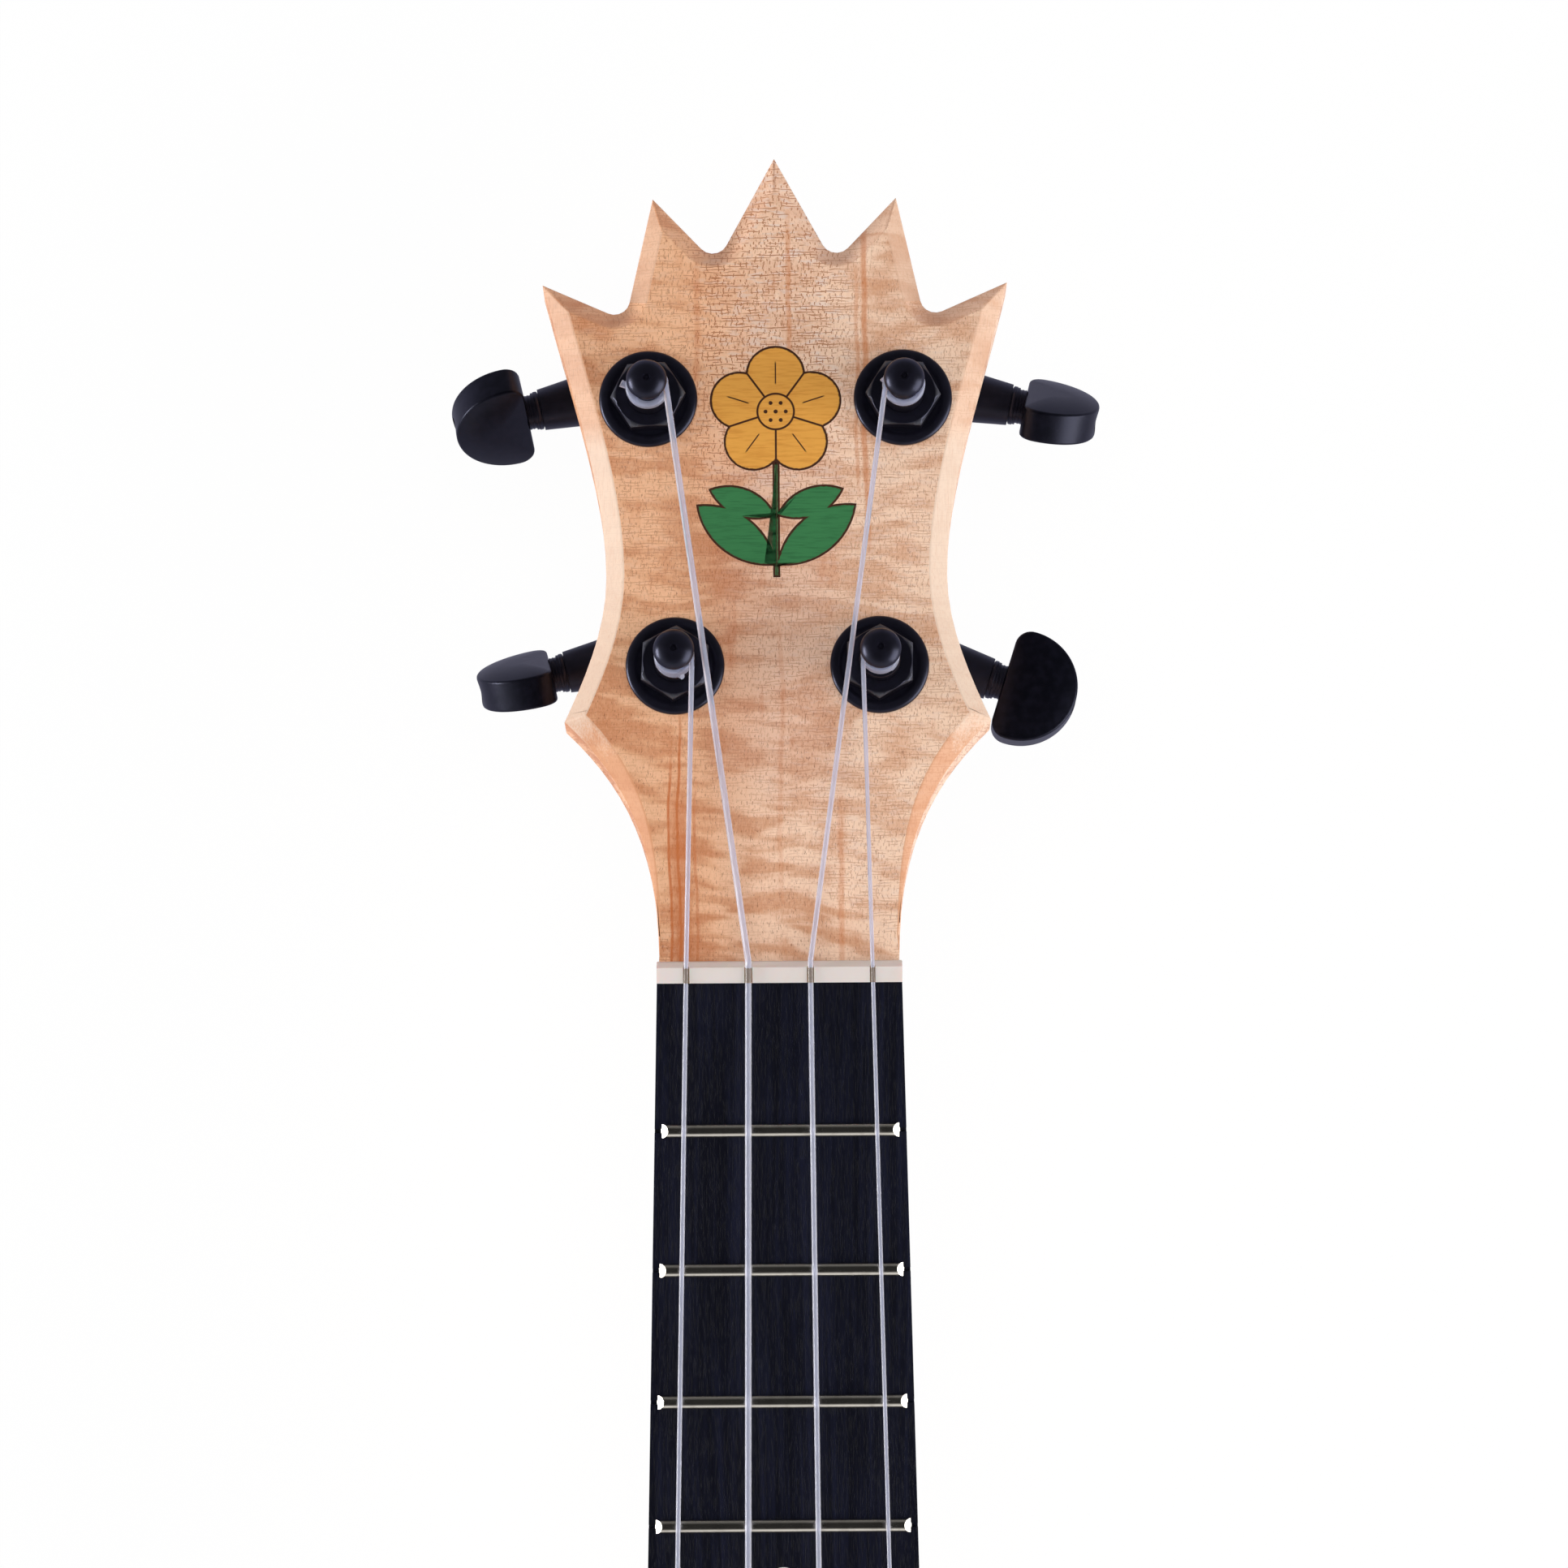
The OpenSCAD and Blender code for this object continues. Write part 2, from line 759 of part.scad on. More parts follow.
cap_rings = 6;
heel_rings = 10;
shaft_rings = 14;
cap_front_y = joint_y + heel_cap_length;
heel_start_y = joint_y + heel_length;
neck_stations = concat(
    [for (i = [0:cap_rings - 1]) joint_y + heel_cap_length * sin(90 * i / cap_rings)],
    [for (i = [0:heel_rings - 1]) cap_front_y + (heel_start_y - cap_front_y) * i / heel_rings],
    [for (i = [0:shaft_rings - 1]) nut_y - (nut_y - heel_start_y) * pow(1 - i / shaft_rings, 1.5)],
    [nut_y]
);
neck_rings = concat([for (y = neck_stations) neck_ring(y)], [neck_head_ring()]);

// A solid skin through rings of equally many points, with flat ends. Seen from outside, the first
// ring runs clockwise. Each end is a fan round the middle of its ring, so an outline may have hollows.
function middle_of(ring) = [for (p = ring) 1 / len(ring)] * ring;

module loft(rings) {
    n = len(rings[0]);
    last = len(rings) - 1;
    first_middle = (last + 1) * n;
    points = concat([for (ring = rings) each ring], [middle_of(rings[0]), middle_of(rings[last])]);
    sides = [for (r = [0:last - 1], i = [0:n - 1])
        let (a = r * n + i, b = r * n + (i + 1) % n)
        each [[a, a + n, b], [b, a + n, b + n]]];
    first_end = [for (i = [0:n - 1]) [i, (i + 1) % n, first_middle]];
    last_end = [for (i = [0:n - 1]) [last * n + (i + 1) % n, last * n + i, first_middle + 1]];
    polyhedron(points = points, faces = concat(first_end, sides, last_end));
}

module neck_and_cap() {
    loft(neck_rings);
}

module heel_cap_space() {
    translate([-board_end_width, 0, 0])
        cube([2 * board_end_width, nut_y, heel_cap_thickness]);
}

module neck() {
    bolt_grip = heel_length / 3;
    color(maple)
    difference() {
        neck_and_cap();
        heel_cap_space();
        translate([0, joint_y - overcut, neck_bolt_height])
            rotate([-90, 0, 0])
                cylinder(d = neck_bolt_diameter, h = bolt_grip + overcut);
    }
}

module heel_cap() {
    color(dark_wood)
    intersection() {
        neck_and_cap();
        heel_cap_space();
    }
}

module neck_bolt() {
    head_height = neck_bolt_diameter * 0.7;
    inner_y = joint_y - neck_block_length;
    color(black_metal)
    translate([0, inner_y, neck_bolt_height])
        rotate([-90, 0, 0]) {
            cylinder(d = neck_bolt_diameter, h = neck_block_length + heel_length / 3);
            translate([0, 0, -head_height])
                difference() {
                    cylinder(d = neck_bolt_diameter * 2, h = head_height);
                    translate([0, 0, -overcut])
                        cylinder(d = neck_bolt_diameter, h = head_height / 2 + overcut, $fn = 6);
                }
        }
}

// ---- Headstock ----

// The headstock's own frame: x across, y up its face from the nut, z out of its face.
function from_head(p) = [
    p[0],
    head_y + p[1] * cos(head_tilt) + p[2] * sin(head_tilt),
    plate_top - p[1] * sin(head_tilt) + p[2] * cos(head_tilt)
];
function to_head(p) =
    let (dy = p[1] - head_y, dz = p[2] - plate_top)
    [p[0], dy * cos(head_tilt) - dz * sin(head_tilt), dy * sin(head_tilt) + dz * cos(head_tilt)];

module on_head() {
    translate([0, head_y, plate_top])
        rotate([-head_tilt, 0, 0])
            children();
}

// The rounded bottom of a notch between two straight edges that meet at corner.
function notch(before, corner, after) =
    let (
        a = unit(before - corner),
        b = unit(after - corner),
        half_angle = acos(a * b) / 2,
        centre = corner + unit(a + b) * notch_radius / sin(half_angle),
        start = corner + a * notch_radius / tan(half_angle) - centre,
        sweep = 180 - 2 * half_angle,
        steps = 5
    )
    [for (i = [0:steps])
        let (t = -sweep * i / steps)
        centre + [start[0] * cos(t) - start[1] * sin(t), start[0] * sin(t) + start[1] * cos(t)]];

// Right half of the outline, counter-clockwise from the nut up to the middle point.
function head_half() =
    let (
        foot = [nut_width / 2 - fret_end_margin / 2, 0],
        middle_point = [0, head_length],
        side = curve([head_waist, between(head_waist, outer_point, 0, 0.314),
            between(head_waist, outer_point, 0.656, 0.695), outer_point], 12)
    )
    concat(
        curve([foot, between(foot, head_shoulder, 0, 0.5),
            between(foot, head_shoulder, 0.37, 0.77), head_shoulder]),
        curve([head_shoulder, between(head_shoulder, head_waist, 0.426, 0.266),
            between(head_shoulder, head_waist, 1, 0.633), head_waist], 8),
        // The bevel needs a straight run up to the point.
        [for (p = side) if (norm(outer_point - p) > 2.2 * bevel_width) p],
        [outer_point],
        notch(outer_point, outer_notch, inner_point),
        [inner_point],
        notch(inner_point, inner_notch, middle_point)
    );
head_half_points = head_half();
head_outline = concat(head_half_points, [[0, head_length]], flip_x(head_half_points));
// The front bevel is widest on the crown and the sides, and fades out towards the nut.
function bevel_share(p) = 0.12 + 0.88 * smooth((p[1] - 4) / (head_shoulder[1] - 4));
function head_ring(width, depth, fading) = [for (i = [0:len(head_outline) - 1])
    let (
        share = fading ? bevel_share(head_outline[i]) : 1,
        p = inset_corner(head_outline, i, width * share * (head_outline[i][1] > 0 ? 1 : 0))
    )
    [p[0], p[1], -depth * share]];

module head_blank() {
    back_ring = [for (p = head_ring(back_bevel, 0, false)) [p[0], p[1], -head_thickness]];
    back_edge = [for (p = head_outline) [p[0], p[1], back_bevel - head_thickness]];
    front_edge = head_ring(0, bevel_depth, true);
    front_ring = [for (p = head_ring(bevel_width, 0, true)) [p[0], p[1], 0]];
    loft([back_ring, back_edge, front_edge, front_ring]);
}

module headstock() {
    color(maple)
    on_head()
        difference() {
            head_blank();
            for (i = [0:3])
                at_machine(i) {
                    translate([0, 0, -head_thickness - overcut])
                        cylinder(d = barrel_diameter, h = head_thickness + 2 * overcut);
                    translate([0, 0, -head_thickness - overcut])
                        case_screw_place()
                            cylinder(d = case_screw_diameter, h = case_screw_grip() + overcut);
                }
            translate([0, 0, -inlay_thickness]) {
                flower_solid(inlay_thickness + overcut);
                leaves_solid(inlay_thickness + overcut);
            }
        }
}

// ---- Inlay: a golden flower over green leaves ----

module flower_solid(height) {
    petal_radius = flower_radius * 0.44;
    translate([0, flower_height, 0])
        linear_extrude(height = height) {
            circle(r = flower_radius * 0.5);
            for (i = [0:petal_count - 1])
                rotate(90 + 360 * i / petal_count)
                    translate([flower_radius - petal_radius, 0])
                        circle(r = petal_radius);
        }
}

// A pointed leaf from the origin along +Y, between two arcs.
module leaf() {
    arc_radius = (pow(leaf_length / 2, 2) + pow(leaf_width / 2, 2)) / leaf_width;
    intersection() {
        translate([arc_radius - leaf_width / 2, leaf_length / 2])
            circle(r = arc_radius);
        translate([leaf_width / 2 - arc_radius, leaf_length / 2])
            circle(r = arc_radius);
    }
}

module leaves_solid(height) {
    stem_width = leaf_width / 6;
    stem_bottom = flower_height - flower_radius - leaf_length;
    difference() {
        linear_extrude(height = height) {
            translate([-stem_width / 2, stem_bottom])
                square([stem_width, leaf_length + flower_radius / 2]);
            for (turn = [-52, 52])
                translate([0, stem_bottom + leaf_length * 0.12])
                    rotate(turn)
                        leaf();
            for (turn = [-68, 68])
                translate([0, stem_bottom + leaf_length * 0.62])
                    rotate(turn)
                        scale(0.72)
                            leaf();
        }
        translate([0, 0, -overcut])
            flower_solid(height + 2 * overcut);
    }
}

module inlay_flower() {
    color("goldenrod")
    on_head()
        translate([0, 0, -inlay_thickness])
            flower_solid(inlay_thickness);
}

module inlay_leaves() {
    color("seagreen")
    on_head()
        translate([0, 0, -inlay_thickness])
            leaves_solid(inlay_thickness);
}

// ---- Tuning machines ----
// A machine's frame: origin on the post's axis in the front face, x along the worm's shaft to its
// button, y towards the crown, z out of the face. Machines 0 to 3 are G, C, E and A.

function is_right(i) = i > 1;
function post_place(i) = i == 0 || i == 3 ? lower_post : upper_post;

module at_machine(i) {
    place = post_place(i);
    mirror([is_right(i) ? 0 : 1, 0, 0])
        translate([place[0], place[1], 0])
            rotate([0, 0, -machine_turns[i]])
                children();
}

module machine(i) {
    on_head()
        at_machine(i)
            children();
}

// Worm and wheel
tooth_height = 0.25 * worm_lead;
tooth_clearance = 0.08 * worm_lead;
backlash = 0.16 * worm_lead;
wheel_pitch_radius = wheel_teeth * worm_lead / (2 * PI);
wheel_outer_radius = wheel_pitch_radius + tooth_height;
wheel_root_radius = wheel_pitch_radius - tooth_height - tooth_clearance;
worm_outer_radius = worm_pitch_diameter / 2 + tooth_height;
worm_root_radius = worm_pitch_diameter / 2 - tooth_height - tooth_clearance;
worm_offset = wheel_pitch_radius + worm_pitch_diameter / 2;
worm_z = -head_thickness - worm_drop;
flank_slope = tan(20);
tooth_thickness = (worm_lead - backlash) / 2;

// Gear case
gap = 0.4;
case_radius = wheel_outer_radius + gap + case_wall;
tube_radius = worm_outer_radius + gap + case_wall;
case_depth = worm_drop + max(tube_radius, wheel_width / 2 + gap + case_wall);
case_bottom = -head_thickness - case_depth;
journal_radius = post_diameter / 2 - 1.2;
inner_journal_radius = worm_root_radius - 0.15;
worm_chamber = worm_length / 2 + gap;
sleeve_start = case_radius + 1;

// A piece of the machine that lies along the worm's axis, drawn along +Z from the post's axis.
module along_worm() {
    translate([0, worm_offset, worm_z])
        rotate([0, 90, 0])
            children();
}

module tuner_housing(i) {
    color(black_metal)
    machine(i)
        difference() {
            union() {
                translate([0, 0, case_bottom])
                    cylinder(r = case_radius, h = case_depth);
                along_worm() {
                    translate([0, 0, -worm_chamber - 2 * case_wall])
                        cylinder(r = tube_radius, h = worm_chamber + 2 * case_wall + sleeve_start);
                    translate([0, 0, sleeve_start])
                        cylinder(r1 = tube_radius, r2 = sleeve_end_diameter / 2,
                            h = sleeve_reach - sleeve_start);
                }
                translate([0, 0, -head_thickness - case_foot_thickness()])
                    linear_extrude(height = case_foot_thickness()) {
                        case_screw_place()
                            circle(r = case_screw_diameter * 1.3);
                        rotate(case_screw_angle())
                            translate([0, -case_screw_diameter * 1.3])
                                square([case_screw_reach(), case_screw_diameter * 2.6]);
                    }
            }
            translate([0, 0, worm_z - wheel_width / 2 - gap])
                cylinder(r = wheel_outer_radius + gap, h = wheel_width + 2 * gap);
            translate([0, 0, worm_z])
                cylinder(r = post_diameter / 2 + running_clearance, h = worm_drop + overcut);
            translate([0, 0, case_bottom - overcut])
                cylinder(r = journal_radius + running_clearance, h = case_depth);
            along_worm() {
                translate([0, 0, -worm_chamber])
                    cylinder(r = worm_outer_radius + gap, h = 2 * worm_chamber);
                cylinder(r = shaft_diameter / 2 + running_clearance, h = sleeve_reach + overcut);
                translate([0, 0, -worm_chamber - case_wall])
                    cylinder(r = inner_journal_radius + running_clearance, h = worm_chamber);
            }
            translate([0, 0, -head_thickness - case_foot_thickness() - overcut])
                case_screw_place()
                    cylinder(d = case_screw_diameter + 2 * seat_clearance, h = case_depth);
        }
}

function case_foot_thickness() = case_wall * 1.5;
function case_screw_angle() = -120;
function case_screw_reach() = case_radius + case_screw_diameter * 1.3;
function case_screw_grip() = head_thickness * 0.6;

module case_screw_place() {
    rotate([0, 0, case_screw_angle()])
        translate([case_screw_reach(), 0, 0])
            children();
}

module tuner_screws() {
    head_radius = case_screw_diameter * 0.95;
    head_height = case_screw_diameter * 0.6;
    color(black_metal)
    for (i = [0:3])
        machine(i)
            case_screw_place()
                translate([0, 0, -head_thickness - case_foot_thickness()]) {
                    cylinder(d = case_screw_diameter, h = case_foot_thickness() + case_screw_grip());
                    translate([0, 0, -head_height])
                        cylinder(r1 = head_radius * 0.7, r2 = head_radius, h = head_height);
                }
}

module tuner_washers() {
    dish_radius = washer_diameter * 0.42;
    color(black_metal)
    for (i = [0:3])
        machine(i)
            difference() {
                union() {
                    cylinder(d = washer_diameter, h = washer_thickness * 0.6);
                    cylinder(r1 = washer_diameter / 2, r2 = dish_radius, h = washer_thickness);
                }
                translate([0, 0, -overcut])
                    cylinder(d = barrel_diameter, h = washer_thickness + 2 * overcut);
            }
}

module tuner_bushings() {
    corner_radius = bushing_flats / 2 / cos(30);
    hex_turns = [45.5, 9.5, 9.5, 46.5];
    chamfer_radius = bushing_flats * 0.485;
    chamfer_angle = 30;
    color(black_metal)
    for (i = [0:3])
        machine(i)
            difference() {
                union() {
                    intersection() {
                        translate([0, 0, washer_thickness])
                            rotate([0, 0, hex_turns[i]])
                                cylinder(r = corner_radius, h = bushing_height, $fn = 6);
                        translate([0, 0, washer_thickness])
                            cylinder(r1 = chamfer_radius + bushing_height / tan(chamfer_angle),
                                r2 = chamfer_radius, h = bushing_height);
                    }
                    translate([0, 0, -barrel_length])
                        cylinder(d = barrel_diameter, h = barrel_length + washer_thickness);
                }
                translate([0, 0, -barrel_length - overcut])
                    cylinder(r = post_diameter / 2 + running_clearance,
                        h = barrel_length + washer_thickness + bushing_height + 2 * overcut);
            }
}

// String post: one revolved piece with a domed cap, a waist, the bearing and the wheel's journal.
module post(i) {
    top = post_height;
    cap = post_diameter / 2 + 0.1;
    waist = post_waist_diameter / 2;
    bearing = post_diameter / 2;
    waist_top = top - post_cap_height;
    waist_bottom = waist_top - post_waist_length;
    wheel_top = worm_z + wheel_width / 2;
    post_bottom = case_bottom + case_wall / 2;
    recess = post_diameter * 0.1;
    dome_radius = (cap * cap + pow(post_cap_height * 0.6, 2)) / (2 * post_cap_height * 0.6);
    color(black_metal)
    machine(i)
        difference() {
            rotate_extrude() {
                translate([0, post_bottom])
                    square([journal_radius, wheel_top - post_bottom]);
                translate([0, wheel_top])
                    square([bearing, waist_bottom - 0.5 - wheel_top]);
                polygon([[0, waist_bottom - 0.5], [bearing, waist_bottom - 0.5],
                    [waist, waist_bottom], [waist, waist_top], [0, waist_top]]);
                translate([0, waist_top])
                    square([cap, post_cap_height * 0.4]);
                intersection() {
                    translate([0, top - dome_radius])
                        circle(r = dome_radius);
                    translate([0, waist_top + post_cap_height * 0.4])
                        square([cap, post_cap_height]);
                }
            }
            translate([0, 0, top - recess])
                cylinder(r = recess, h = post_cap_height);
            translate([0, 0, winding_z() - post_waist_length / 2])
                rotate([90, 0, 0])
                    cylinder(d = post_waist_diameter * 0.28, h = 2 * post_diameter, center = true);
        }
}

function winding_z() = post_height - post_cap_height - max(string_diameters);

// The turns of string on the post, as wide as the string is thick.
module winding(i) {
    d = string_diameters[i];
    waist = post_waist_diameter / 2;
    color("whitesmoke")
    machine(i)
        rotate_extrude()
            for (turn = [-0.5, 0.5])
                translate([waist, winding_z() + turn * d * 0.9])
                    intersection() {
                        translate([d / 2, 0])
                            circle(r = d / 2);
                        translate([0, -d])
                            square([d, 2 * d]);
                    }
}

// Outline of the worm wheel: one trapezoid tooth per pitch, with a gap facing the worm.
module wheel_outline() {
    tip = (tooth_thickness / 2 - tooth_height * flank_slope) / wheel_outer_radius * 180 / PI;
    foot = (tooth_thickness / 2 + (tooth_height + tooth_clearance) * flank_slope)
        / wheel_root_radius * 180 / PI;
    pitch = 360 / wheel_teeth;
    polygon([for (t = [0:wheel_teeth - 1], corner = [
            [-foot, wheel_root_radius], [-tip, wheel_outer_radius],
            [tip, wheel_outer_radius], [foot, wheel_root_radius]])
        let (a = 90 + pitch * (t + 0.5) + corner[0])
        corner[1] * [cos(a), sin(a)]]);
}

// The teeth lean with the worm's thread.
module gear(i) {
    lean = atan(worm_lead / (PI * worm_pitch_diameter));
    twist = wheel_width * tan(lean) / wheel_pitch_radius * 180 / PI;
    color("darkgoldenrod")
    machine(i)
        translate([0, 0, worm_z - wheel_width / 2])
            difference() {
                rotate([0, 0, -twist / 2])
                    linear_extrude(height = wheel_width, twist = -twist, slices = 3)
                        wheel_outline();
                translate([0, 0, -overcut])
                    cylinder(r = journal_radius, h = wheel_width + 2 * overcut);
            }
}

// Cross-section of the single-start worm, with its thread centred on +X.
module worm_section() {
    steps = 16;
    tip = (tooth_thickness / 2 - tooth_height * flank_slope) / worm_lead * 360;
    foot = (tooth_thickness / 2 + (tooth_height + tooth_clearance) * flank_slope) / worm_lead * 360;
    rise = worm_outer_radius - worm_root_radius;
    polygon([for (i = [0:steps - 1])
        let (
            a = 360 * (i + 0.5) / steps - 180,
            share = min(1, max(0, (foot - abs(a)) / (foot - tip)))
        )
        (worm_root_radius + rise * share) * [cos(a), sin(a)]]);
}

module worm_shaft(i) {
    turns = worm_length / worm_lead;
    collar_start = sleeve_reach + collar_gap;
    stem_start = collar_start + 2 * collar_thickness;
    color(black_metal)
    machine(i)
        along_worm() {
            rotate([0, 0, -90 - 180 * turns])
                linear_extrude(height = worm_length, twist = -360 * turns, slices = 14 * turns,
                        center = true, $fn = 16)
                    worm_section();
            translate([0, 0, -worm_chamber - case_wall / 2])
                cylinder(r = inner_journal_radius,
                    h = worm_chamber + case_wall / 2 - worm_length / 2);
            translate([0, 0, worm_length / 2])
                cylinder(d = shaft_diameter, h = stem_start - worm_length / 2 + stem_length());
            translate([0, 0, collar_start])
                cylinder(d = sleeve_end_diameter * 0.9, h = collar_thickness);
            translate([0, 0, collar_start + collar_thickness])
                cylinder(d = sleeve_end_diameter * 0.82, h = collar_thickness);
        }
}

function stem_length() = button_length * 0.7;
function button_start() = sleeve_reach + collar_gap + 2 * collar_thickness;

// Flat view of a button: x along the shaft from its flat side, y across.
module button_outline(shrink) {
    bulge = button_width / 2;
    middle = button_length - bulge;
    // The corners touch the round side from inside.
    corner_y = sqrt(pow(bulge - button_corner, 2) - pow(middle - button_corner, 2));
    hull() {
        for (side = [-1, 1])
            translate([button_corner, side * corner_y])
                circle(r = button_corner - shrink, $fn = 32);
        intersection() {
            translate([middle, 0])
                circle(r = bulge - shrink, $fn = 72);
            translate([button_corner, -button_width / 2])
                square([button_length, button_width]);
        }
    }
}

module button(i) {
    color(black_metal)
    machine(i)
        along_worm()
            translate([0, 0, button_start()])
                rotate([0, 0, button_turns[i]])
                    difference() {
                        rotate([0, -90, 0])
                            hull() {
                                linear_extrude(height = button_thickness, center = true)
                                    button_outline(button_edge);
                                linear_extrude(height = button_thickness - 2 * button_edge, center = true)
                                    button_outline(0);
                            }
                        translate([0, 0, -overcut])
                            cylinder(d = shaft_diameter + seat_clearance, h = stem_length() + overcut);
                        translate([0, 0, stem_length() - overcut])
                            cylinder(d = screw_shank() + seat_clearance, h = button_length);
                        translate([0, 0, button_length - screw_sink()])
                            cylinder(d = screw_head() + 2 * seat_clearance, h = button_length);
                    }
}

function screw_head() = shaft_diameter * 0.85;
function screw_shank() = shaft_diameter * 0.4;
function screw_sink() = 1.6;

module button_screw(i) {
    head_height = 1.1;
    color(black_metal)
    machine(i)
        along_worm()
            translate([0, 0, button_start()])
                difference() {
                    union() {
                        translate([0, 0, button_length - screw_sink()])
                            cylinder(d = screw_head(), h = head_height);
                        translate([0, 0, stem_length()])
                            cylinder(d = screw_shank(),
                                h = button_length - screw_sink() - stem_length());
                    }
                    for (turn = [0, 90])
                        translate([0, 0, button_length - screw_sink() + head_height])
                            rotate([0, 0, turn])
                                cube([screw_head() * 0.6, screw_head() * 0.16, head_height], center = true);
                }
}

// ---- Strings ----

function string_nut_z(i) = slot_bottom + string_diameters[i] / 2 + seat_clearance;
function string_nut_point(i) = [string_x(i, nut_string_spread), head_y + seat_clearance, string_nut_z(i)];
// Where string i meets its winding, in the headstock's frame: on the inner side of the post.
function string_post_point(i) =
    let (
        side = is_right(i) ? 1 : -1,
        start = to_head(string_nut_point(i)),
        centre = [side * post_place(i)[0], post_place(i)[1]],
        from = [start[0], start[1]] - centre,
        reach = post_waist_diameter / 2 + string_diameters[i] / 2,
        angle = atan2(from[1], from[0]) - side * acos(reach / norm(from)),
        touch = centre + reach * [cos(angle), sin(angle)],
        // Clear of the turns, which reach as far round the post as the string is thick.
        gap = sqrt(pow(reach + string_diameters[i] / 2, 2) - pow(post_waist_diameter / 2, 2)),
        back = unit([start[0], start[1]] - touch) * (seat_clearance + gap)
    )
    [touch[0] + back[0], touch[1] + back[1], winding_z() - string_diameters[i] * 0.45];

string_sides = 12;
// A round wire of diameter d through the points of a path that runs roughly along Y.
module wire(path, d) {
    last = len(path) - 1;
    loft([for (k = [0:last])
        let (
            before = unit(path[max(k, 1)] - path[max(k, 1) - 1]),
            after = unit(path[min(k, last - 1) + 1] - path[min(k, last - 1)]),
            along = unit(before + after),
            up = unit(cross(along, [1, 0, 0])),
            across = cross(up, along),
            mitre = 1 / (along * after)
        )
        [for (j = [0:string_sides - 1])
            let (a = 360 * j / string_sides)
            path[k] + d / 2 * (cos(a) * across + sin(a) * mitre * up)]]);
}

// The bends of string i over the saddle's round crown, down to a point behind it.
function crown_bends(i, below) =
    let (
        axis = [saddle_y, saddle_top - saddle_thickness / 2],
        r = saddle_thickness / 2 + string_diameters[i] / 2 + seat_clearance / 5,
        run = axis[0] - below[1],
        drop = axis[1] - below[2],
        wrap = asin(r / norm([run, drop])) + atan2(drop, run),
        bends = 3,
        step = wrap / bends,
        out = r / cos(step / 2)
    )
    [for (k = [bends - 1:-1:0])
        let (a = step * (k + 0.5))
        [below[0], axis[0] - out * sin(a), axis[1] + out * cos(a)]];

// The loop that ties string i: from its tail, back over the tie block and down to the string hole.
function tie_loop(i) =
    let (
        lift = string_diameters[i] / 2 + seat_clearance / 2,
        x = string_x(i, saddle_string_spread),
        tail_x = x + 1.5 * string_diameters[i],
        front = bridge_back_y() + tie_block_length + lift,
        back = bridge_back_y() - lift,
        top = plate_top + bridge_height + lift,
        // A quarter turn in two bends, tangent to the circle round the block's edge.
        round = (2 - sqrt(2)) * lift
    )
    [
        [tail_x, front, top - bridge_height / 3],
        [tail_x, front, top - round],
        [tail_x, front - round, top],
        [x, back + round, top],
        [x, back, top - round],
        [x, back, tie_hole_z + round],
        [x, back + round, tie_hole_z]
    ];

module string(i) {
    d = string_diameters[i];
    hole_mouth = [
        string_x(i, saddle_string_spread),
        bridge_back_y() + tie_block_length + d / 2,
        tie_hole_z
    ];
    path = concat(
        tie_loop(i),
        [hole_mouth],
        crown_bends(i, hole_mouth),
        [string_nut_point(i), from_head(string_post_point(i))]
    );
    color("whitesmoke")
        wire(path, d);
}

// ---- Selection ----

soundboard();
back_plate();
bent_side(-1);  // side_left
bent_side(1);  // side_right
neck_block();
tail_block();
top_linings();
back_linings();
top_braces();
back_braces();
bridge_plate();
rosette();
bridge();
saddle();
neck();
headstock();
fretboard();
nut();
frets();
fret_markers();
side_markers();
inlay_flower();
inlay_leaves();
heel_cap();
neck_bolt();
string(0);  // string_g
string(1);  // string_c
string(2);  // string_e
string(3);  // string_a
tuner_washers();
tuner_bushings();
tuner_screws();
tuner_housing(0);  // tuner_housing_g
tuner_housing(1);  // tuner_housing_c
tuner_housing(2);  // tuner_housing_e
tuner_housing(3);  // tuner_housing_a
worm_shaft(0);  // worm_shaft_g
worm_shaft(1);  // worm_shaft_c
worm_shaft(2);  // worm_shaft_e
worm_shaft(3);  // worm_shaft_a
button(0);  // button_g
button(1);  // button_c
button(2);  // button_e
button(3);  // button_a
button_screw(0);  // button_screw_g
button_screw(1);  // button_screw_c
button_screw(2);  // button_screw_e
button_screw(3);  // button_screw_a
post(0);  // post_g
post(1);  // post_c
post(2);  // post_e
post(3);  // post_a
gear(0);  // gear_g
gear(1);  // gear_c
gear(2);  // gear_e
gear(3);  // gear_a
winding(0);  // winding_g
winding(1);  // winding_c
winding(2);  // winding_e
winding(3);  // winding_a
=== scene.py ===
"""The finished look of a concert ukulele with a crown headstock, laid out as an add-on."""

import json
import math

import bmesh
import bpy
from mathutils import Matrix, Vector


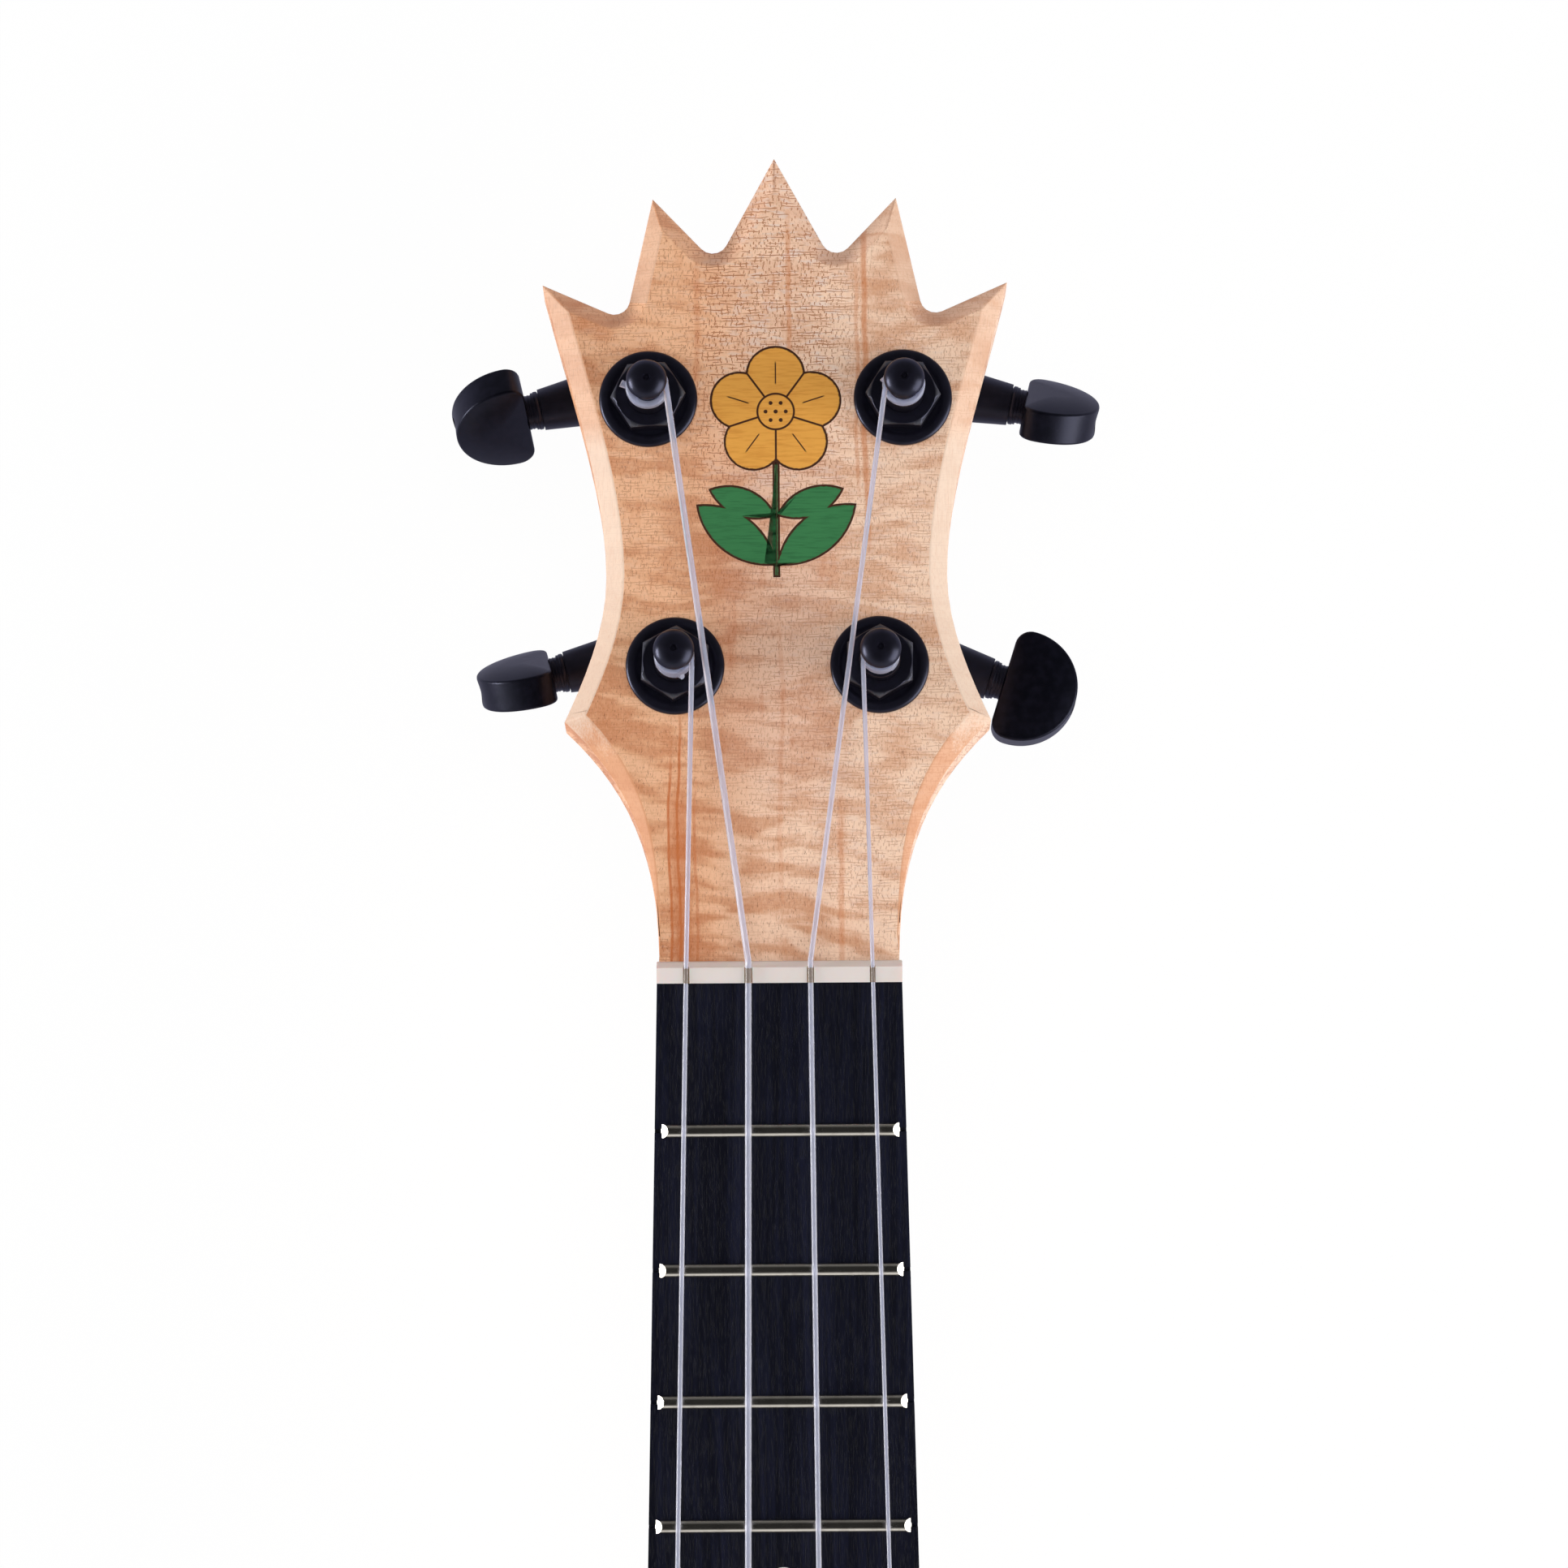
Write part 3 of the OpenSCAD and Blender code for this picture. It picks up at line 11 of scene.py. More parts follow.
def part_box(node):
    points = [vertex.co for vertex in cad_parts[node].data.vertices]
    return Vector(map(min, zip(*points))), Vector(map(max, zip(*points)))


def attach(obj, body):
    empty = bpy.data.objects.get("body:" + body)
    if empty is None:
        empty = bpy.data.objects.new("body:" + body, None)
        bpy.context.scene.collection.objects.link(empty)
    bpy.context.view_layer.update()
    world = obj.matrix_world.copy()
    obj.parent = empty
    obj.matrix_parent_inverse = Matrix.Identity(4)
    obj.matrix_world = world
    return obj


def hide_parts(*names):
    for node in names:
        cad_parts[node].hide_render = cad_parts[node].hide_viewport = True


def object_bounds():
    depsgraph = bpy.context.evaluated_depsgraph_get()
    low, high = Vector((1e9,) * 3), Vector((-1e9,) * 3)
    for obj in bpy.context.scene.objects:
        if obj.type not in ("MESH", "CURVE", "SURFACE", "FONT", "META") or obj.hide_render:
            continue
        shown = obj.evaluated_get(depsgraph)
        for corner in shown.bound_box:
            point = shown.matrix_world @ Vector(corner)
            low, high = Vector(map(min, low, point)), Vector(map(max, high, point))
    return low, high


bl_info = {
    "name": "Concert Ukulele",
    "version": (1, 0, 0),
    "blender": (4, 5, 0),
    "location": "View3D > Sidebar > Ukulele",
    "description": "Finishes a concert ukulele with a crown headstock and sealed tuning machines",
    "category": "Object",
}

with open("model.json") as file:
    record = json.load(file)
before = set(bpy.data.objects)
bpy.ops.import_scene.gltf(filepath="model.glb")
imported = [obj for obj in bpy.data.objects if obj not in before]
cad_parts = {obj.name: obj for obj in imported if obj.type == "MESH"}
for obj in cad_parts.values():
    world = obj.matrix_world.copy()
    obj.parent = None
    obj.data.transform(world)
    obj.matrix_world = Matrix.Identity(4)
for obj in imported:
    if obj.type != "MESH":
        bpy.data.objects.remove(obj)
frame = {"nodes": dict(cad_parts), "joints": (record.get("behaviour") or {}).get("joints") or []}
NODES = frame["nodes"]
JOINTS = {joint["name"]: joint for joint in frame["joints"]}
CAD_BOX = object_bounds()

# A millimetre in metres, and a metre in millimetres.
MM = 0.001
TO_MM = 1000.0
MACHINES = "gcea"
BODY = "instrument"

# The letters of the two thick strings.
THICK = "ce"
# Radii in millimetres: a post's waist under its dome, a washer's rim and hole, a bushing's
# hexagon at its flats, and the two corners beside a button's flat side.
POST_WAIST = 2.2
WASHER_RIM = 7.25
WASHER_HOLE = 3.95
HEXAGON_FLAT = 4.7
BUTTON_CORNER = 2.4
# Where the waist starts over the headstock's face, for thick and thin strings, and the depth
# of the dome over it, in millimetres.
THICK_WAIST = 7.0
THIN_WAIST = 5.6
DOME = 2.0
# Steps in one turn of a winding.
TURN_STEPS = 40
# Each string's turns on its post, how loosely they lie on it, and where its cut end points to
# (out along the button's shaft, up the head and off its face), in millimetres.
WINDINGS = {
    "g": (4.75, 0.05, (-0.5, -0.5, 0.7)),
    "c": (2.45, 0.05, (1.0, 0.75, 0.3)),
    "e": (2.0, 0.15, (-0.45, 0.35, 0.3)),
    "a": (4.6, 0.05, (0.0, 0.0, 0.0)),
}


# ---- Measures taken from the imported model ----


def middle(node):
    """The middle of a CAD node's box."""
    low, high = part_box(node)
    return (low + high) / 2


def half_width(node):
    """Half of a CAD node's width across the instrument."""
    low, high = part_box(node)
    return (high.x - low.x) / 2


def pivot(name):
    """A joint's place and the direction of its axis."""
    joint = JOINTS[name]
    return Vector(joint["pos_m"]), Vector(joint["axis"]).normalized()


# The headstock's front face: its ways out and up, and its middle at the nut.
HEAD_NORMAL = pivot("post_g_turn")[1]
HEAD_UP = Vector((0, HEAD_NORMAL.z, -HEAD_NORMAL.y))
HEAD_ORIGIN = Vector((0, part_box("nut")[1].y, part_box("fretboard")[0].z))


def own_frame(x, y, z, origin):
    """The matrix of a frame with these directions and this origin."""
    matrix = Matrix((x, y, z)).transposed().to_4x4()
    matrix.translation = origin
    return matrix


def machine_matrix(letter):
    """A tuning machine's own frame: x along its worm shaft to the button, z out of the face."""
    x = pivot(f"button_{letter}_turn")[1]
    y = HEAD_NORMAL.cross(x)
    if y.y < 0:
        y = -y
    return own_frame(x, y, HEAD_NORMAL, pivot(f"post_{letter}_turn")[0])


def local_box(node, matrix):
    """A node's lowest and highest corners in a frame of its own, in millimetres."""
    inverse = matrix.inverted()
    points = [inverse @ vert.co * TO_MM for vert in NODES[node].data.vertices]
    low = Vector([min(p[axis] for p in points) for axis in range(3)])
    high = Vector([max(p[axis] for p in points) for axis in range(3)])
    return low, high


def screw_centre(letter):
    """The middle of the small screw that holds a machine's case."""
    post = pivot(f"post_{letter}_turn")[0]
    near = [v.co for v in NODES["tuner_screws"].data.vertices if (v.co - post).length < 0.023]
    return sum(near, Vector()) / len(near)


# ---- Settings ----


def chip(red, green, blue):
    """A colour from its values on a screen, from 0 to 255."""
    return tuple(
        (v / 255 / 12.92) if v <= 10 else ((v / 255 + 0.055) / 1.055) ** 2.4
        for v in (red, green, blue)
    )


def colour(name, description, value):
    return bpy.props.FloatVectorProperty(
        name=name,
        description=description,
        subtype="COLOR",
        size=3,
        min=0.0,
        max=1.0,
        default=value,
    )


def number(name, description, value, subtype, unit="NONE", **limits):
    return bpy.props.FloatProperty(
        name=name, description=description, default=value, subtype=subtype, unit=unit, **limits
    )


def factor(name, description, value):
    return number(name, description, value, "FACTOR", min=0.0, max=1.0)


def length(name, description, value):
    return number(name, description, value, "DISTANCE", "LENGTH", min=0.0)


class WoodSettings(bpy.types.PropertyGroup):
    """Colours and figure of the pale wood."""

    pale: colour("Pale wood", "Lightest tone between the flames", chip(247, 213, 186))
    tan: colour("Tan wood", "Darker tone of the flames", chip(204, 141, 100))
    fleck: colour("Fleck", "Short pores and rays", chip(142, 82, 50))
    streak: colour("Mineral streak", "Orange brown streaks along the grain", chip(204, 124, 72))
    # The sanded edge colour is partly the cut wood's paler tone and partly a painted highlight of
    # the side lamps.
    edge: colour("Sanded edge", "Cut wood on the bevels", chip(224, 200, 180))
    flame: factor("Flame", "Strength of the bands across the grain", 0.5)
    softening: length("Edge softening", "Radius sanded on the wood's edges", 0.0003)


class DarkWoodSettings(bpy.types.PropertyGroup):
    """Colours of the fretboard, bridge, rosette and heel cap."""

    dark: colour("Dark wood", "Ground of the dyed wood", chip(5, 6, 20))
    vein: colour("Vein", "Lighter lines along its grain", chip(19, 22, 44))


class InlaySettings(bpy.types.PropertyGroup):
    """Colours of the inlay on the headstock."""

    petal: colour("Petals", "Stained veneer of the flower", chip(230, 164, 70))
    leaf: colour("Leaves", "Stained veneer of the leaves", chip(52, 122, 70))
    burn: colour("Burnt edge", "Line burnt round each piece", chip(62, 30, 12))
    burn_width: length("Burnt width", "Width of the burnt line", 0.00045)


class HardwareSettings(bpy.types.PropertyGroup):
    """Finish of the tuning machines, frets and nut."""

    black: colour("Black plating", "Satin black of the machines", chip(14, 13, 20))
    plastic: colour("Button plastic", "Black moulding of the buttons", chip(6, 6, 12))
    black_roughness: factor("Black roughness", "Roughness of the black plating", 0.27)
    nickel: colour("Fret metal", "Drawn nickel silver of the frets", chip(222, 216, 206))
    bone: colour("Nut and saddle", "Pressed bone of the nut and saddle", chip(226, 216, 211))
    brass: colour("Worm wheels", "Brass of the worm wheels", chip(206, 164, 88))
    fret_inset: length("Fret inset", "How far the frets end inside the board's edges", 0.00045)
    edge_radius: length("Button edge", "Radius round the edges of the buttons", 0.00042)
    button_crown: length("Button crown", "Height of the crown on each broad face", 0.0008)


class StringSettings(bpy.types.PropertyGroup):
    """Finish of the strings."""

    # The tint shows at the flanks as a painted highlight, and the haze shows along the middle.
    tint: colour("Tint", "Nylon's faint tint", chip(250, 248, 255))
    haze: colour("Haze", "Tint of its cloudier places", chip(216, 220, 242))
    clearness: factor("Clearness", "Share of light that goes through the thick strings", 0.7)
    thin_clearness: factor("Thin clearness", "Share that goes through the thin strings", 0.7)


class StageSettings(bpy.types.PropertyGroup):
    """Camera and light."""

    camera_height: length("Camera height", "Camera over the soundboard's plane", 0.955)
    camera_along: length("Camera station", "Camera past the nut towards the crown", 0.0257)
    camera_across: length("Camera offset", "Camera beside the neck's middle", 0.00085)
    roll: number(
        "Roll", "Turn of the camera about its own view", math.radians(-0.4), "ANGLE", "ROTATION"
    )
    focal_length: number(
        "Focal length", "Lens of the camera", 150.8, "DISTANCE_CAMERA", "CAMERA", min=10.0
    )
    side_power: number(
        "Side lamps", "Power of the two soft lamps beside the headstock", 9.7, "POWER", min=0.0
    )
    fill: factor("Fill", "Light of the surroundings on the object", 0.34)
    floor: colour("Floor", "Pale floor", (0.95, 0.95, 0.95))


class UkuleleSettings(bpy.types.PropertyGroup):
    """All that a user would change."""

    wood: bpy.props.PointerProperty(type=WoodSettings)
    dark_wood: bpy.props.PointerProperty(type=DarkWoodSettings)
    inlay: bpy.props.PointerProperty(type=InlaySettings)
    hardware: bpy.props.PointerProperty(type=HardwareSettings)
    strings: bpy.props.PointerProperty(type=StringSettings)
    stage: bpy.props.PointerProperty(type=StageSettings)


def settings():
    return bpy.context.scene.ukulele


# ---- Materials ----


class Value:
    """A number that varies over a surface: a socket that takes part in sums."""

    def __init__(self, graph, socket):
        self.graph = graph
        self.socket = socket

    def __add__(self, other):
        return self.graph.math("ADD", self, other)

    def __sub__(self, other):
        return self.graph.math("SUBTRACT", self, other)

    def __rsub__(self, other):
        return self.graph.math("SUBTRACT", other, self)

    def __mul__(self, other):
        return self.graph.math("MULTIPLY", self, other)

    def __truediv__(self, other):
        return self.graph.math("DIVIDE", self, other)

    def __pow__(self, other):
        return self.graph.math("POWER", self, other)

    def __abs__(self):
        return self.graph.math("ABSOLUTE", self)

    __radd__ = __add__
    __rmul__ = __mul__


class Graph:
    """A node tree while it is built."""

    def __init__(self, tree):
        self.tree = tree
        tree.nodes.clear()

    def node(self, kind, options=None, sockets=None, output=0):
        """Adds a node, sets its options, then feeds its sockets, and returns one output."""
        node = self.tree.nodes.new(kind)
        for key, value in (options or {}).items():
            setattr(node, key, value)
        for key, value in (sockets or {}).items():
            self.feed(node.inputs[key], value)
        if node.outputs:
            return Value(self, node.outputs[output])

    def feed(self, socket, value):
        if isinstance(value, Value):
            self.tree.links.new(value.socket, socket)
        elif socket.type == "RGBA":
            socket.default_value = (*tuple(value)[:3], 1.0)
        else:
            socket.default_value = value

    def math(self, operation, *terms):
        return self.node("ShaderNodeMath", {"operation": operation}, dict(enumerate(terms)))

    def most(self, value, *others):
        """The greatest of some values."""
        for other in others:
            value = self.math("MAXIMUM", value, other)
        return value

    def mix(self, first, second, share, mode="MIX"):
        """A colour between two, by a share from 0 to 1."""
        options = {"data_type": "RGBA", "blend_type": mode, "clamp_factor": True}
        return self.node("ShaderNodeMix", options, {0: share, 6: first, 7: second}, 2)

    def step(self, value, low, high):
        """0 below low, 1 above high, and smooth between them; low may be over high."""
        sockets = {"Value": value, "From Min": min(low, high), "From Max": max(low, high)}
        sockets.update({"To Min": float(low > high), "To Max": float(low <= high)})
        return self.node("ShaderNodeMapRange", {"interpolation_type": "SMOOTHSTEP"}, sockets)

    def place(self):
        """The place on the piece in millimetres, as three values."""
        sockets = {0: self.node("ShaderNodeTexCoord", output="Object"), "Scale": TO_MM}
        return self.parts(self.node("ShaderNodeVectorMath", {"operation": "SCALE"}, sockets))

    def parts(self, vector):
        node = self.node("ShaderNodeSeparateXYZ", sockets={0: vector}).socket.node
        return tuple(Value(self, socket) for socket in node.outputs)

    def noise(self, x, y, z, detail=2.0, roughness=0.5):
        """Noise from 0 to 1 at a place measured in its own grains."""
        place = self.node("ShaderNodeCombineXYZ", sockets={0: x, 1: y, 2: z})
        sockets = {"Vector": place, "Scale": 1.0, "Detail": detail, "Roughness": roughness}
        return self.node("ShaderNodeTexNoise", sockets=sockets)

    def attribute(self, name):
        options = {"attribute_type": "GEOMETRY", "attribute_name": name}
        return self.node("ShaderNodeAttribute", options, output="Fac")

    def ray(self, kind):
        """1 on one kind of ray and 0 on the others."""
        return self.node("ShaderNodeLightPath", output=f"Is {kind} Ray")


class Finish(Graph):
    """A material while it is built."""

    def __init__(self, name):
        self.material = bpy.data.materials.new(name)
        self.material.use_nodes = True
        super().__init__(self.material.node_tree)

    def surface(self, base, roughness, bump=None, fixed=None):
        """Ends the material in one plain surface shader.

        The bump is a height, its distance in metres and its strength. What is fixed is the
        same all over the surface.
        """
        sockets = {"Base Color": base, "Roughness": roughness, **(fixed or {})}
        if bump:
            values = dict(zip(("Height", "Distance", "Strength"), bump))
            sockets["Normal"] = self.node("ShaderNodeBump", sockets=values)
        shader = self.node("ShaderNodeBsdfPrincipled", sockets=sockets)
        self.node("ShaderNodeOutputMaterial", sockets={"Surface": shader})
        return self.material


# Streaks in the headstock's wood, in millimetres on its face: the place across, the low end,
# the high end and half the width, and last the strength.
HEAD_STREAKS = (
    (13.4, 62.0, 112.0, 0.3, 0.75),
    (12.2, 70.0, 104.0, 0.2, 0.5),
    (2.0, 84.0, 112.0, 0.25, 0.6),
    (-11.6, 84.0, 106.0, 0.3, 0.35),
    (-14.4, -4.0, 27.0, 1.0, 0.7),
    (-16.0, -4.0, 30.0, 0.14, 1.0),
    (-14.7, -4.0, 36.0, 0.14, 1.0),
    (-12.2, -4.0, 26.0, 0.16, 0.6),
    (0.4, 10.0, 50.0, 0.25, 0.3),
    (9.2, -4.0, 24.0, 0.3, 0.5),
)


def streaked(g, base, across, along, fibre):
    """Lays brown mineral streaks along the grain over the headstock's wood."""
    foot = HEAD_ORIGIN.y * TO_MM
    sway = (g.noise(across * 0.02, along * 0.05, 0.0, 2.0) - 0.5) * 2.4
    for at, low, high, half, strength in HEAD_STREAKS:
        start, end = foot + low * HEAD_UP.y, foot + high * HEAD_UP.y
        inside = g.step(abs(across + sway - at), half * 2.2, half * 0.5)
        inside = inside * g.step(along, start - 3, start + 3) * g.step(along, end + 4, end - 6)
        base = g.mix(base, settings().wood.streak, inside * strength * (fibre * 0.9 + 0.4))
    return base


def woven_lines(g, across, along, deep):
    """Hairlines of the rays and pores that cross in the quartered wood."""
    warp = g.noise(across * 0.35, along * 0.9, deep * 0.35, 2.0) - 0.5
    rows = along * 2.3 + warp * 1.6
    row = g.math("FLOOR", rows)
    shift = g.math("FRACT", g.math("SINE", row * 12.9898) * 437.58)
    posts = across * 1.2 + shift * 7.0 + warp * 0.8
    post = g.math("FLOOR", posts)
    upright = g.step(abs(g.math("FRACT", posts) - 0.5), 0.13, 0.05)
    level = g.step(abs(g.math("FRACT", rows) - 0.5), 0.2, 0.08)
    broken = g.noise(across * 0.42, row * 3.7, deep * 0.1, 1.0)
    kept = g.noise(post * 2.3, row * 1.9, 0.0, 0.0)
    return g.most(upright * g.step(kept, 0.44, 0.5), level * g.step(broken, 0.47, 0.56))


def figured_wood(name, weave, mirrored=False, sideways=False, head=False):
    """Pale figured wood with its grain along the neck, or along a bent side.

    The headstock's wood also has woven rays near its crown, streaks and sanded bevels, with
    painted highlight and painted shade on the bevels.
    """
    wood = settings().wood
    g = Finish(name)
    x, y, z = g.place()
    if mirrored:
        x = abs(x)
    across, along, deep = (z, y, x * 0.4) if sideways else (x, y, z)
    sway = g.noise(across * 0.03, along * 0.009, deep * 0.03, 1.0) - 0.5
    line = across + sway * 6.0
    growth = g.noise(line * 0.3, along * 0.01, deep * 0.3, 3.0, 0.6)
    broad = g.noise(line * 0.07, along * 0.014, deep * 0.07, 1.0)
    fibre = g.noise(line * 5.2, along * 0.32, deep * 5.2, 3.0, 0.65)
    grit = g.noise(across * 4.2, along * 2.6, deep * 4.2, 2.0, 0.6)
    wander = g.noise(across * 0.05, along * 0.06, deep * 0.05, 1.0)
    flame = g.noise(across * 0.1, along * 0.4 + across * 0.03 + wander * 3.0, deep * 0.1, 2.0, 0.5)
    flame = g.step(flame, 0.4, 0.62)
    calm = g.step(g.noise(across * 0.035, along * 0.024, deep * 0.035, 1.0), 0.4, 0.58)
    if head:
        crown = HEAD_ORIGIN.y * TO_MM + 80 * HEAD_UP.y
        quartered = g.step(abs(across + 1.0), 17.0, 7.0) * g.step(along, crown - 24, crown + 2)
        calm = g.most(calm * 0.35, quartered)

    tone = flame * wood.flame * (1.0 - calm * 0.62) + growth * 0.34 + broad * 0.36
    tone = tone + (fibre - 0.5) * 0.42 + (grit - 0.5) * 0.3 - 0.22
    base = g.mix(wood.pale, wood.tan, g.step(tone, -0.05, 0.95))
    ticks = g.step(g.noise(across * 6.5, along * 0.95, deep * 6.5, 2.0, 0.6), 0.6, 0.68)
    base = g.mix(base, wood.fleck, ticks * 0.62)
    lines = woven_lines(g, across, along, deep)
    pale_cells = g.noise(across * 0.5, along * 1.5, deep * 0.5, 2.0)
    base = g.mix(base, chip(232, 212, 202), g.step(pale_cells, 0.5, 0.66) * calm * 0.6)
    base = g.mix(base, chip(180, 120, 84), lines * (calm * 0.8 + 0.2) * weave * 1.3)
    rays = g.step(g.noise(line * 0.34, along * 0.006, deep * 0.34, 2.0, 0.7), 0.63, 0.76)
    base = g.mix(base, wood.streak, rays * 0.25)
    if head:
        base = streaked(g, base, across, along, fibre)
        base = g.mix(base, chip(246, 218, 190), g.step(across, 2.0, -13.0) * 0.8, "MULTIPLY")
        heart = g.step(abs(across + 1.0), 14.0, 5.0) * g.step(along, crown + 5, crown - 12)
        heart = heart * g.step(along, crown - 62, crown - 45)
        base = g.mix(base, chip(226, 206, 202), heart * 0.5, "MULTIPLY")
        edge = g.mix(wood.edge, wood.tan, g.step(fibre, 0.45, 0.8) * 0.3)
        ragged = (growth - 0.5) * 12 + (grit - 0.5) * 8
        pale = g.step(along + ragged, crown - 49, crown - 41)
        pale = pale * (1.0 - g.step(along, crown - 4, crown + 1) * 0.6)
        bevel = g.attribute("side_bevel")
        # Painted shade: the side bevels below the shoulders are painted tan to take back the side
        # lamps' light there.
        base = g.mix(base, wood.tan, bevel * (1 - pale) * 0.75)
        # Partly painted highlight: the upper side bevels are painted pale, partly the cut wood's
        # own tone and partly the lamps' highlight.
        base = g.mix(base, edge, bevel * pale * 0.85)
        # End grain and painted shade: the crown's bevels are darker the more they face up, away
        # from the side lamps.
        base = g.mix(base, chip(196, 140, 112), g.attribute("crown_bevel") * 0.4)
    else:
        base = g.mix(base, chip(234, 228, 221), 1.0, "MULTIPLY")
    height = fibre * 0.6 + grit * 0.2 - lines * weave * 0.2 - ticks * 0.4
    roughness = 0.46 + fibre * 0.12 + lines * 0.05
    return g.surface(base, roughness, (height, 0.00006, 0.5), {"Specular IOR Level": 0.3})


def dyed_wood(name):
    """Nearly black wood with a faint lengthwise vein and fine pores."""
    dark = settings().dark_wood
    g = Finish(name)
    x, y, z = g.place()
    sway = g.noise(x * 0.05, y * 0.01, z * 0.05, 1.0)
    vein = g.noise(x * 0.9 + sway * 4.0, y * 0.02, z * 0.9, 3.0, 0.6)
    pore = g.noise(x * 6.0, y * 0.35, z * 6.0, 2.0, 0.6)
    cloud = g.noise(x * 0.12, y * 0.04, z * 0.12, 2.0)
    tone = g.step(vein * 0.7 + cloud * 0.3, 0.4, 0.68)
    base = g.mix(dark.dark, dark.vein, tone * 0.7)
    base = g.mix(base, chip(8, 8, 10), g.step(pore, 0.56, 0.66) * 0.6)
    bump = (g.step(pore, 0.52, 0.66) * -1.0, 0.00004, 0.5)
    return g.surface(base, 0.42 + pore * 0.16, bump, {"Specular IOR Level": 0.22})


def rosette_wood():
    """Dark ring with two pale lines, measured from the middle of the sound hole."""
    centre = middle("rosette") * TO_MM
    radius = half_width("rosette") * TO_MM
    g = Finish("rosette_wood")
    x, y, z = g.place()
    reach = ((x - centre.x) ** 2.0 + (y - centre.y) ** 2.0) ** 0.5
    inner = radius - 5.0
    inner_line = g.step(abs(reach - (inner + 0.9)), 0.26, 0.18)
    outer_line = g.step(abs(reach - (radius - 0.9)), 0.26, 0.18)
    angle = g.math("ARCTAN2", y - centre.y, x - centre.x)
    cells = g.math("FRACT", angle * (72 / (2 * math.pi)))
    block = g.step(abs(cells - 0.5), 0.27, 0.23)
    block = block * g.step(abs(reach - (inner + radius) / 2), 0.95, 0.85)
    fibre = g.noise(x * 4.0, y * 0.6, z, 2.0)
    base = g.mix(chip(30, 24, 24), chip(52, 40, 34), fibre)
    base = g.mix(base, settings().wood.pale, inner_line + outer_line)
    base = g.mix(base, chip(188, 132, 92), block * 0.85)
    return g.surface(base, 0.45 + fibre * 0.1)


def spruce_wood():
    """Straight grained wood of the braces, linings and blocks inside the box."""
    g = Finish("brace_wood")
    x, y, z = g.place()
    line = g.noise(x * 0.05, y * 1.1, z * 1.1, 3.0, 0.6)
    fibre = g.noise(x * 0.3, y * 5.0, z * 5.0, 2.0)
    base = g.mix(chip(226, 196, 150), chip(190, 148, 100), g.step(line, 0.4, 0.62))
    base = g.mix(base, chip(160, 118, 76), fibre * 0.2)
    return g.surface(base, 0.6 + fibre * 0.1, (fibre + line, 0.0001, 0.4))


def satin_black(name, shade, roughness, grain=0.00001, gloss=0.42):
    """Satin black plating or moulding with a fine, even grain and a painted reflection on
    chamfers.
    """
    g = Finish(name)
    x, y, z = g.place()
    mist = g.noise(x * 0.8, y * 0.8, z * 0.8, 2.0)
    skin = g.noise(x * 14.0, y * 14.0, z * 14.0, 1.0)
    base = g.mix(shade, chip(21, 20, 32), g.step(mist, 0.35, 0.75) * 0.4)
    # Painted reflection: the bushings' chamfers are painted grey, standing in for the bright
    # surroundings they mirror.
    base = g.mix(base, chip(66, 66, 70), g.attribute("rubbed"))
    fixed = {"Specular IOR Level": gloss, "Specular Tint": (0.66, 0.68, 1.0)}
    return g.surface(base, roughness + mist * 0.08, (skin, grain, 0.35), fixed)


def drawn_metal(name, shade, roughness, stretch):
    """Bright metal with fine draw lines, which the stretch makes long across the instrument."""
    g = Finish(name)
    x, y, z = g.place()
    lines = g.noise(x * (6.0 / stretch), y * 6.0, z * 6.0, 2.0)
    dull = g.noise(x * 0.5, y * 0.5, z * 0.5, 2.0)
    base = g.mix(shade, chip(150, 142, 132), g.step(dull, 0.45, 0.8) * 0.35)
    return g.surface(base, roughness + lines * 0.1, (lines, 0.000006, 0.5), {"Metallic": 1.0})


def pressed_bone(name):
    """Off-white bone with faint clouds, and painted shade in its slots."""
    g = Finish(name)
    x, y, z = g.place()
    cloud = g.noise(x * 0.25, y * 0.4, z * 0.4, 3.0)
    fine = g.noise(x * 2.0, y * 5.0, z * 5.0, 2.0)
    shade = settings().hardware.bone
    base = g.mix(shade, chip(220, 206, 196), g.step(cloud, 0.4, 0.75) * 0.4)
    # Painted shade: the slots' walls and floors are painted brown, standing in for the shadow down
    # in them.
    base = g.mix(base, chip(170, 142, 104), g.attribute("slot_stain") * 0.85)
    fixed = {"Subsurface Weight": 0.25, "Subsurface Scale": 0.002}
    return g.surface(base, 0.36 + fine * 0.12, (fine, 0.00001, 0.3), fixed)


def nylon(name, tint, clearness, roughness):
    """Nylon string, bluer along its middle, with a painted highlight at its flanks and painted
    shade in its slot.
    """
    g = Finish(name)
    x, y, z = g.place()
    cloud = g.noise(x * 1.5, y * 0.2, z * 1.5, 2.0)
    # Painted highlight: the string is whiter where its sides face left and right toward the side
    # lamps, and bluer along its middle.
    clear = g.step(g.attribute("flank"), 0.55, 0.95) + cloud * 0.3
    base = g.mix(settings().strings.haze, tint, clear)
    # Painted shade: the part of the string in the nut's slot is painted brown, standing in for the
    # slot's shadow.
    base = g.mix(base, chip(168, 146, 116), g.attribute("in_slot") * 0.75)
    fixed = {"IOR": 1.48, "Transmission Weight": clearness}
    return g.surface(base, roughness + cloud * 0.06, None, fixed)


